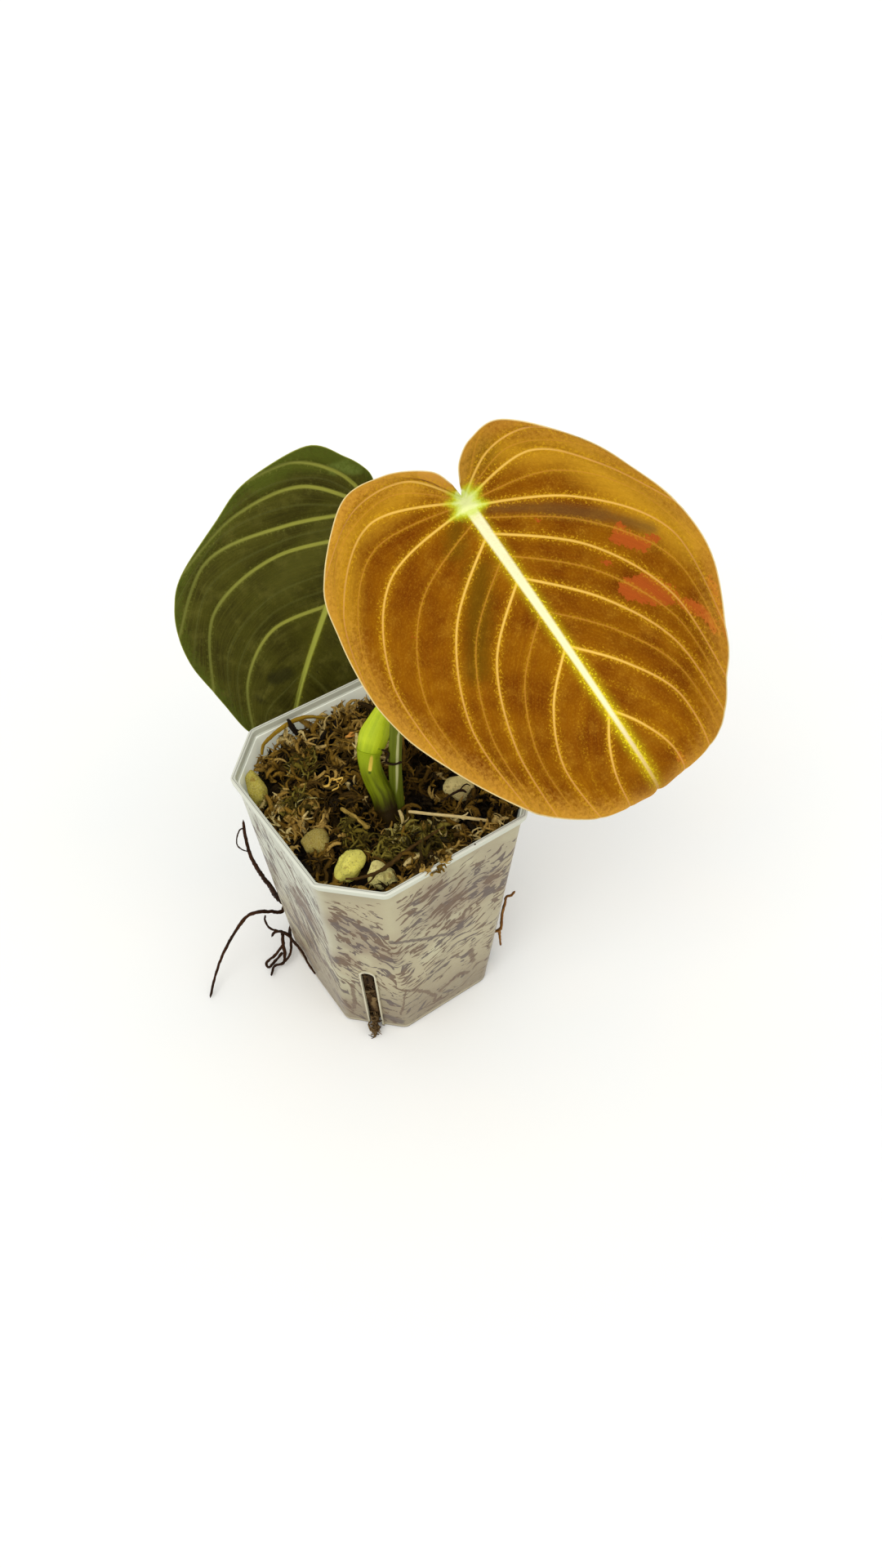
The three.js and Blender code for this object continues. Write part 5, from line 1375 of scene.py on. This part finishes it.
def strandTemplates(roll):
    # Short straight strands along X, with side branches, which every copy bends its own way
    templates = []
    for girth, branches, reach in mossShape["strandKinds"]:
        bm = bmesh.new()
        bm.verts.layers.float.new("tone")
        sweep(bm, mossShape["strandPath"],
              lambda share: girth * (0.2 + 0.9 * math.sin(math.pi * (0.1 + 0.8 * share))), 4, 7, flatten=0.4)
        for index in range(branches):
            root = Vector((1 + 7.5 * (index + 0.6 * roll.random()) / branches, 0, 0))
            turn = roll.uniform(0, 2 * math.pi)
            aside = Vector((0, math.cos(turn), 0.5 * math.sin(turn))) * reach
            spots = [root, root + aside * 0.45 + Vector((reach * 0.25, 0, 0)),
                     root + aside * 0.75 + Vector((reach * 0.7, 0, reach * roll.uniform(-0.3, 0.3)))]
            sweep(bm, spots, lambda share: girth * (0.75 - 0.6 * share), 3, 3, flatten=0.6)
        mesh = bpy.data.meshes.new("strandTemplate")
        bm.to_mesh(mesh)
        bm.free()
        templates.append(mesh)
    return templates


def bendStrand(mesh, roll, length):
    # The template's points bent into a curl up or down and sideways
    co = np.zeros(len(mesh.vertices) * 3)
    mesh.vertices.foreach_get("co", co)
    x, y, z = co.reshape(-1, 3).T
    x = x * length / mossShape["strandPath"][-1][0]
    for _ in range(2):
        curl = roll.uniform(*mossShape["curl"]) * roll.choice((-1, 1))
        radius = length / curl
        turn = curl * x / length
        x, z = radius * np.sin(turn) - z * np.sin(turn), radius * (1 - np.cos(turn)) + z * np.cos(turn)
        y, z = z, -y
    return np.stack([x, y, z], axis=1)


def keepInside(co, inset):
    # Points drawn in to the pot's inside; above the lip they may lean out over it a little
    x, y, z = co.T
    level, lean = mossShape["overLip"]
    grow = np.where((z > level) & (inset < 2), lean, -inset)
    reach = insideReach(np.arctan2(y, x), np.clip(z, 0, potShape["height"]), grow)
    share = np.minimum(1, reach / np.maximum(np.hypot(x, y), 1e-6))
    return np.stack([x * share, y * share, z], axis=1)


def addStrand(bm, roll, templates, place, tone, length, lift, heading=None, inset=1.1):
    mesh = roll.choice(templates).copy()
    co = bendStrand(mesh, roll, length)
    co -= co.mean(axis=0) * 0.8
    heading = roll.uniform(0, 2 * math.pi) if heading is None else heading
    pose = Matrix.Rotation(heading, 3, "Z") @ Matrix.Rotation(-lift, 3, "Y")
    pose = pose @ Matrix.Rotation(roll.uniform(0, 6.3), 3, "X")
    co = co @ np.array(pose).T + np.array(place)
    if inset is not None:
        co = keepInside(co, inset)
    co[:, 2] = np.maximum(co[:, 2], mossShape["lowest"])
    mesh.vertices.foreach_set("co", co.ravel())
    mesh.attributes["tone"].data.foreach_set("value", np.full(len(co), tone))
    bm.from_mesh(mesh)
    bpy.data.meshes.remove(mesh)


def keepOff(x, y):
    # Strands leave room for the stem, the stones and what lies in view
    for _, place, size, *_ in stones.values():
        if math.hypot(x - place[0], y - place[1]) < max(size[:2]) * mossShape["stoneRoom"]:
            return True
    spot = np.array([[x, y]])
    if any(nearLine(spot, np.array(line))[0] < mossShape["lineRoom"] for line in mossShape["inView"]):
        return True
    middle, reach = mossShape["stemRoom"]
    return math.dist((x, y), middle) < reach


def pocketDepth(x, y):
    return max(float(hump(math.dist((x, y), middle), reach)) for middle, reach in mossShape["pockets"])


def mossTone(roll, above, x, y):
    # Strands that stand higher are paler, partly as painted light and partly as faded colour, and those in
    # the pockets are painted dark as shade
    middle, fromHeight, spread, pocketLoss = mossShape["tone"]
    return min(1, max(0, roll.gauss(middle + fromHeight * above, spread) - pocketLoss * pocketDepth(x, y)))


def mossCore(bm):
    # A grid pulled to the pot's outline, roughened, with its sides run down to the floor
    tone = bm.verts.layers.float.get("tone")
    cuts, inset, foot = (mossShape[key] for key in ("core", "coreInset", "coreFoot"))
    coarse, coarseRate, fine, fineRate, sunk = mossShape["coreLumps"]
    bmesh.ops.create_grid(bm, x_segments=cuts, y_segments=cuts, size=1)
    for vert in bm.verts:
        angle = math.atan2(vert.co.y, vert.co.x)
        share = max(abs(vert.co.x), abs(vert.co.y))
        out = float(insideReach(angle, mossShape["level"], -inset)) * share
        x, y = out * math.cos(angle), out * math.sin(angle)
        spot = Vector((x, y, 0))
        lump = coarse * noise.noise(spot * coarseRate) + fine * noise.noise(spot * fineRate) - sunk
        vert.co = (x, y, mossHeight(x, y) + lump)
        # A low tone: the core is painted dark as the shade under the strands
        vert[tone] = max(0, 0.1 + 0.06 * lump)
    rim = [edge for edge in bm.edges if edge.is_boundary]
    for vert in vertsOf(bmesh.ops.extrude_edge_only(bm, edges=rim)["geom"]):
        angle = math.atan2(vert.co.y, vert.co.x)
        besideSlot = min(abs(math.remainder(angle - turn, 2 * math.pi)) for turn in cornerTurns)
        out = float(insideReach(angle, foot, -inset - 3.4 * hump(besideSlot, 0.14)))
        vert.co = (out * math.cos(angle), out * math.sin(angle), foot)
    bmesh.ops.contextual_create(bm, geom=[edge for edge in bm.edges if edge.is_boundary])
    bmesh.ops.recalc_face_normals(bm, faces=bm.faces)


def brownTangle(bm, roll, templates):
    (padX, padY), (padWide, padLong), _ = mossShape["greenPad"]
    heights, lengths, lifts = mossShape["brown"]
    spread, edge = mossShape["spread"], mossShape["edge"]
    count = 0
    while count < mossShape["strands"]:
        x, y = roll.uniform(-spread, spread), roll.uniform(-spread, spread)
        margin = float(insideReach(math.atan2(y, x), *edge)) - math.hypot(x, y)
        if margin < 0 or keepOff(x, y):
            continue
        onPad = math.hypot((x - padX) / padWide, (y - padY) / padLong) < 1
        if onPad and roll.random() < mossShape["padLoss"]:
            continue
        pocket = pocketDepth(x, y)
        if roll.random() < mossShape["pocketLoss"] * pocket:
            continue
        count += 1
        above = roll.uniform(*heights) - pocket
        length = roll.uniform(*lengths) * (1 if margin > 4 else 0.7)
        lift = roll.uniform(*(lifts if margin > 3 else mossShape["edgeLift"]))
        place = (x, y, mossHeight(x, y) + above - 0.3)
        addStrand(bm, roll, templates, place, mossTone(roll, above, x, y), length, lift)


def greenPatch(bm, roll, templates, middle, reach, count):
    heights, lengths, lifts = mossShape["green"]
    for _ in range(count):
        angle, out = roll.uniform(0, 2 * math.pi), math.sqrt(roll.random())
        x = middle[0] + reach[0] * out * math.cos(angle)
        y = middle[1] + reach[1] * out * math.sin(angle)
        if keepOff(x, y):
            continue
        above = roll.uniform(*heights)
        place = (x, y, mossHeight(x, y) + 1.2 * (1 - out * out) + above)
        tone = mossTone(roll, above, x, y)
        addStrand(bm, roll, templates, place, tone, roll.uniform(*lengths), roll.uniform(*lifts))


slotMoss = {
    # Folds: where they run, how deep behind the wall, how far they stray, their radius and their paleness
    "foldSides": (-1.9, -0.9, 0.1, 1.1, 2), "foldLevels": (39, 33, 27, 21, 15, 9, 3), "foldDepth": (1.3, 2.6),
    "foldStray": (-0.7, 0.7), "foldRadius": (0.9, 1.1), "foldTone": (0.2, 0.75), "palest": (19, 13),
    # Strands: how many, ranges of level, depth, place aside and length, and their lifts
    "strands": 16, "ranges": ((3, 37), (1.2, 2.2), (-1.6, 1.6)), "length": (5, 9), "lifts": (-1.4, 1.4),
    "tuft": 22, "tuftEnds": ((24.2, -24.2, 6.5), (27.4, -26.8, 1.6)), "tuftHeading": -40,
    "tuftTone": (0.2, 0.6), "tuftLength": (2.6, 4), "tuftLift": -0.5,
    "crumbs": 9, "crumbTone": (0.3, 0.9), "crumbLength": (1.2, 2.6),
}


def slotFill(bm, roll, templates, turn):
    # Folds that run down behind a slot, with strands pressed against them
    tone = bm.verts.layers.float.get("tone")
    level, reach = slotMoss["palest"]
    for side in slotMoss["foldSides"]:
        spots = []
        for z in slotMoss["foldLevels"]:
            depth = roll.uniform(*slotMoss["foldDepth"])
            spots.append(onCut(turn, z, depth, side + roll.uniform(*slotMoss["foldStray"])))
        smooth = len(bm.verts)
        sweep(bm, spots, taper(*slotMoss["foldRadius"], 0.1), 10, 60, flatten=0.7, rough=0.7)
        bm.verts.ensure_lookup_table()
        shade = roll.uniform(*slotMoss["foldTone"])
        for vert in bm.verts[smooth:]:
            vert[tone] = shade * float(hump(vert.co.z - level, reach))
    for _ in range(slotMoss["strands"]):
        place = onCut(turn, *(roll.uniform(*ends) for ends in slotMoss["ranges"]))
        shade = max(0, roll.gauss(0.35, 0.2))
        length, lift = roll.uniform(*slotMoss["length"]), roll.choice(slotMoss["lifts"])
        addStrand(bm, roll, templates, place, shade, length, lift, turn)


def makeMoss():
    roll = random.Random(mossShape["seed"])
    templates = strandTemplates(roll)
    brown, fibre, green = (mossMaterial(name) for name in mossShades)

    def mossPiece(name, material, node, fill):
        bm = bmesh.new()
        bm.verts.layers.float.new("tone")
        fill(bm)
        finishPiece(bm, name, material, node, angle=None, outward=False)

    def tangle(bm):
        mossCore(bm)
        brownTangle(bm, roll, templates)

    def patches(places):
        def fill(bm):
            for middle, reach, strands in places:
                greenPatch(bm, roll, templates, middle, reach, strands)
        return fill

    def slots(bm):
        for turn in cornerTurns:
            slotFill(bm, roll, templates, turn)
        # The tuft that hangs out of the front slot
        start, end = (Vector(spot) for spot in slotMoss["tuftEnds"])
        heading = math.radians(slotMoss["tuftHeading"])
        for _ in range(slotMoss["tuft"]):
            spot = start.lerp(end, roll.random())
            shade, length = roll.uniform(*slotMoss["tuftTone"]), roll.uniform(*slotMoss["tuftLength"])
            addStrand(bm, roll, templates, spot, shade, length, slotMoss["tuftLift"], heading, inset=None)

    def crumbs(bm):
        # On the lip and the wall below it
        for _ in range(slotMoss["crumbs"]):
            if roll.choice((0, 0, 1)):
                place = (40.1, roll.uniform(-11, -5), roll.uniform(93.6, 94.8))
            else:
                place = (roll.uniform(38.2, 39.6), roll.uniform(-12, 1), 95.2)
            shade, length = roll.uniform(*slotMoss["crumbTone"]), roll.uniform(*slotMoss["crumbLength"])
            addStrand(bm, roll, templates, place, shade, length, 0, inset=None)

    mossPiece("mossTangle", brown, "moss_fill", tangle)
    mossPiece("greenMossTuft", green, "moss_green", patches([mossShape["greenPad"]]))
    mossPiece("strayGreenMoss", green, None, patches(mossShape["strayGreen"]))
    mossPiece("slotMoss", fibre, None, slots)
    mossPiece("lipCrumbs", brown, None, crumbs)
    for mesh in templates:
        bpy.data.meshes.remove(mesh)


makeMoss()
print("moss made")

# Floor and light

studio = {
    "floor": 1.6, "floorShades": ("#f7f8f5", "#faf9f4"), "world": 0.8,
    # Towards, strength, angle
    "lamps": {"keyLight": ((0.3, -0.6, 0.9), 1.0, 45), "fillLight": ((0.9, 0.4, 0.8), 0.4, 60)},
}


def makeStudio():
    scene = bpy.context.scene
    scene.view_settings.view_transform = "Standard"
    world = bpy.data.worlds.new("studio")
    world.use_nodes = True
    world.node_tree.nodes["Background"].inputs[0].default_value = (1, 1, 1, 1)
    world.node_tree.nodes["Background"].inputs[1].default_value = studio["world"]
    scene.world = world
    bm = bmesh.new()
    bmesh.ops.create_grid(bm, x_segments=1, y_segments=1, size=studio["floor"])
    floor = meshObject(bm, "floor")
    pale, shader = newMaterial("paleFloor", 0.8, 0.2)
    spots = ease(speckle(objectMm(), 0.01, 2), 0.3, 0.7)
    feed(shader.inputs, {"Base Color": mixed(spots, *studio["floorShades"])})
    floor.data.materials.append(pale)
    for name, (towards, strength, angle) in studio["lamps"].items():
        lamp = bpy.data.lights.new(name, "SUN")
        lamp.energy = strength
        lamp.angle = math.radians(angle)
        made = bpy.data.objects.new(name, lamp)
        made.rotation_euler = Vector(towards).to_track_quat("Z", "Y").to_euler()
        scene.collection.objects.link(made)


makeStudio()
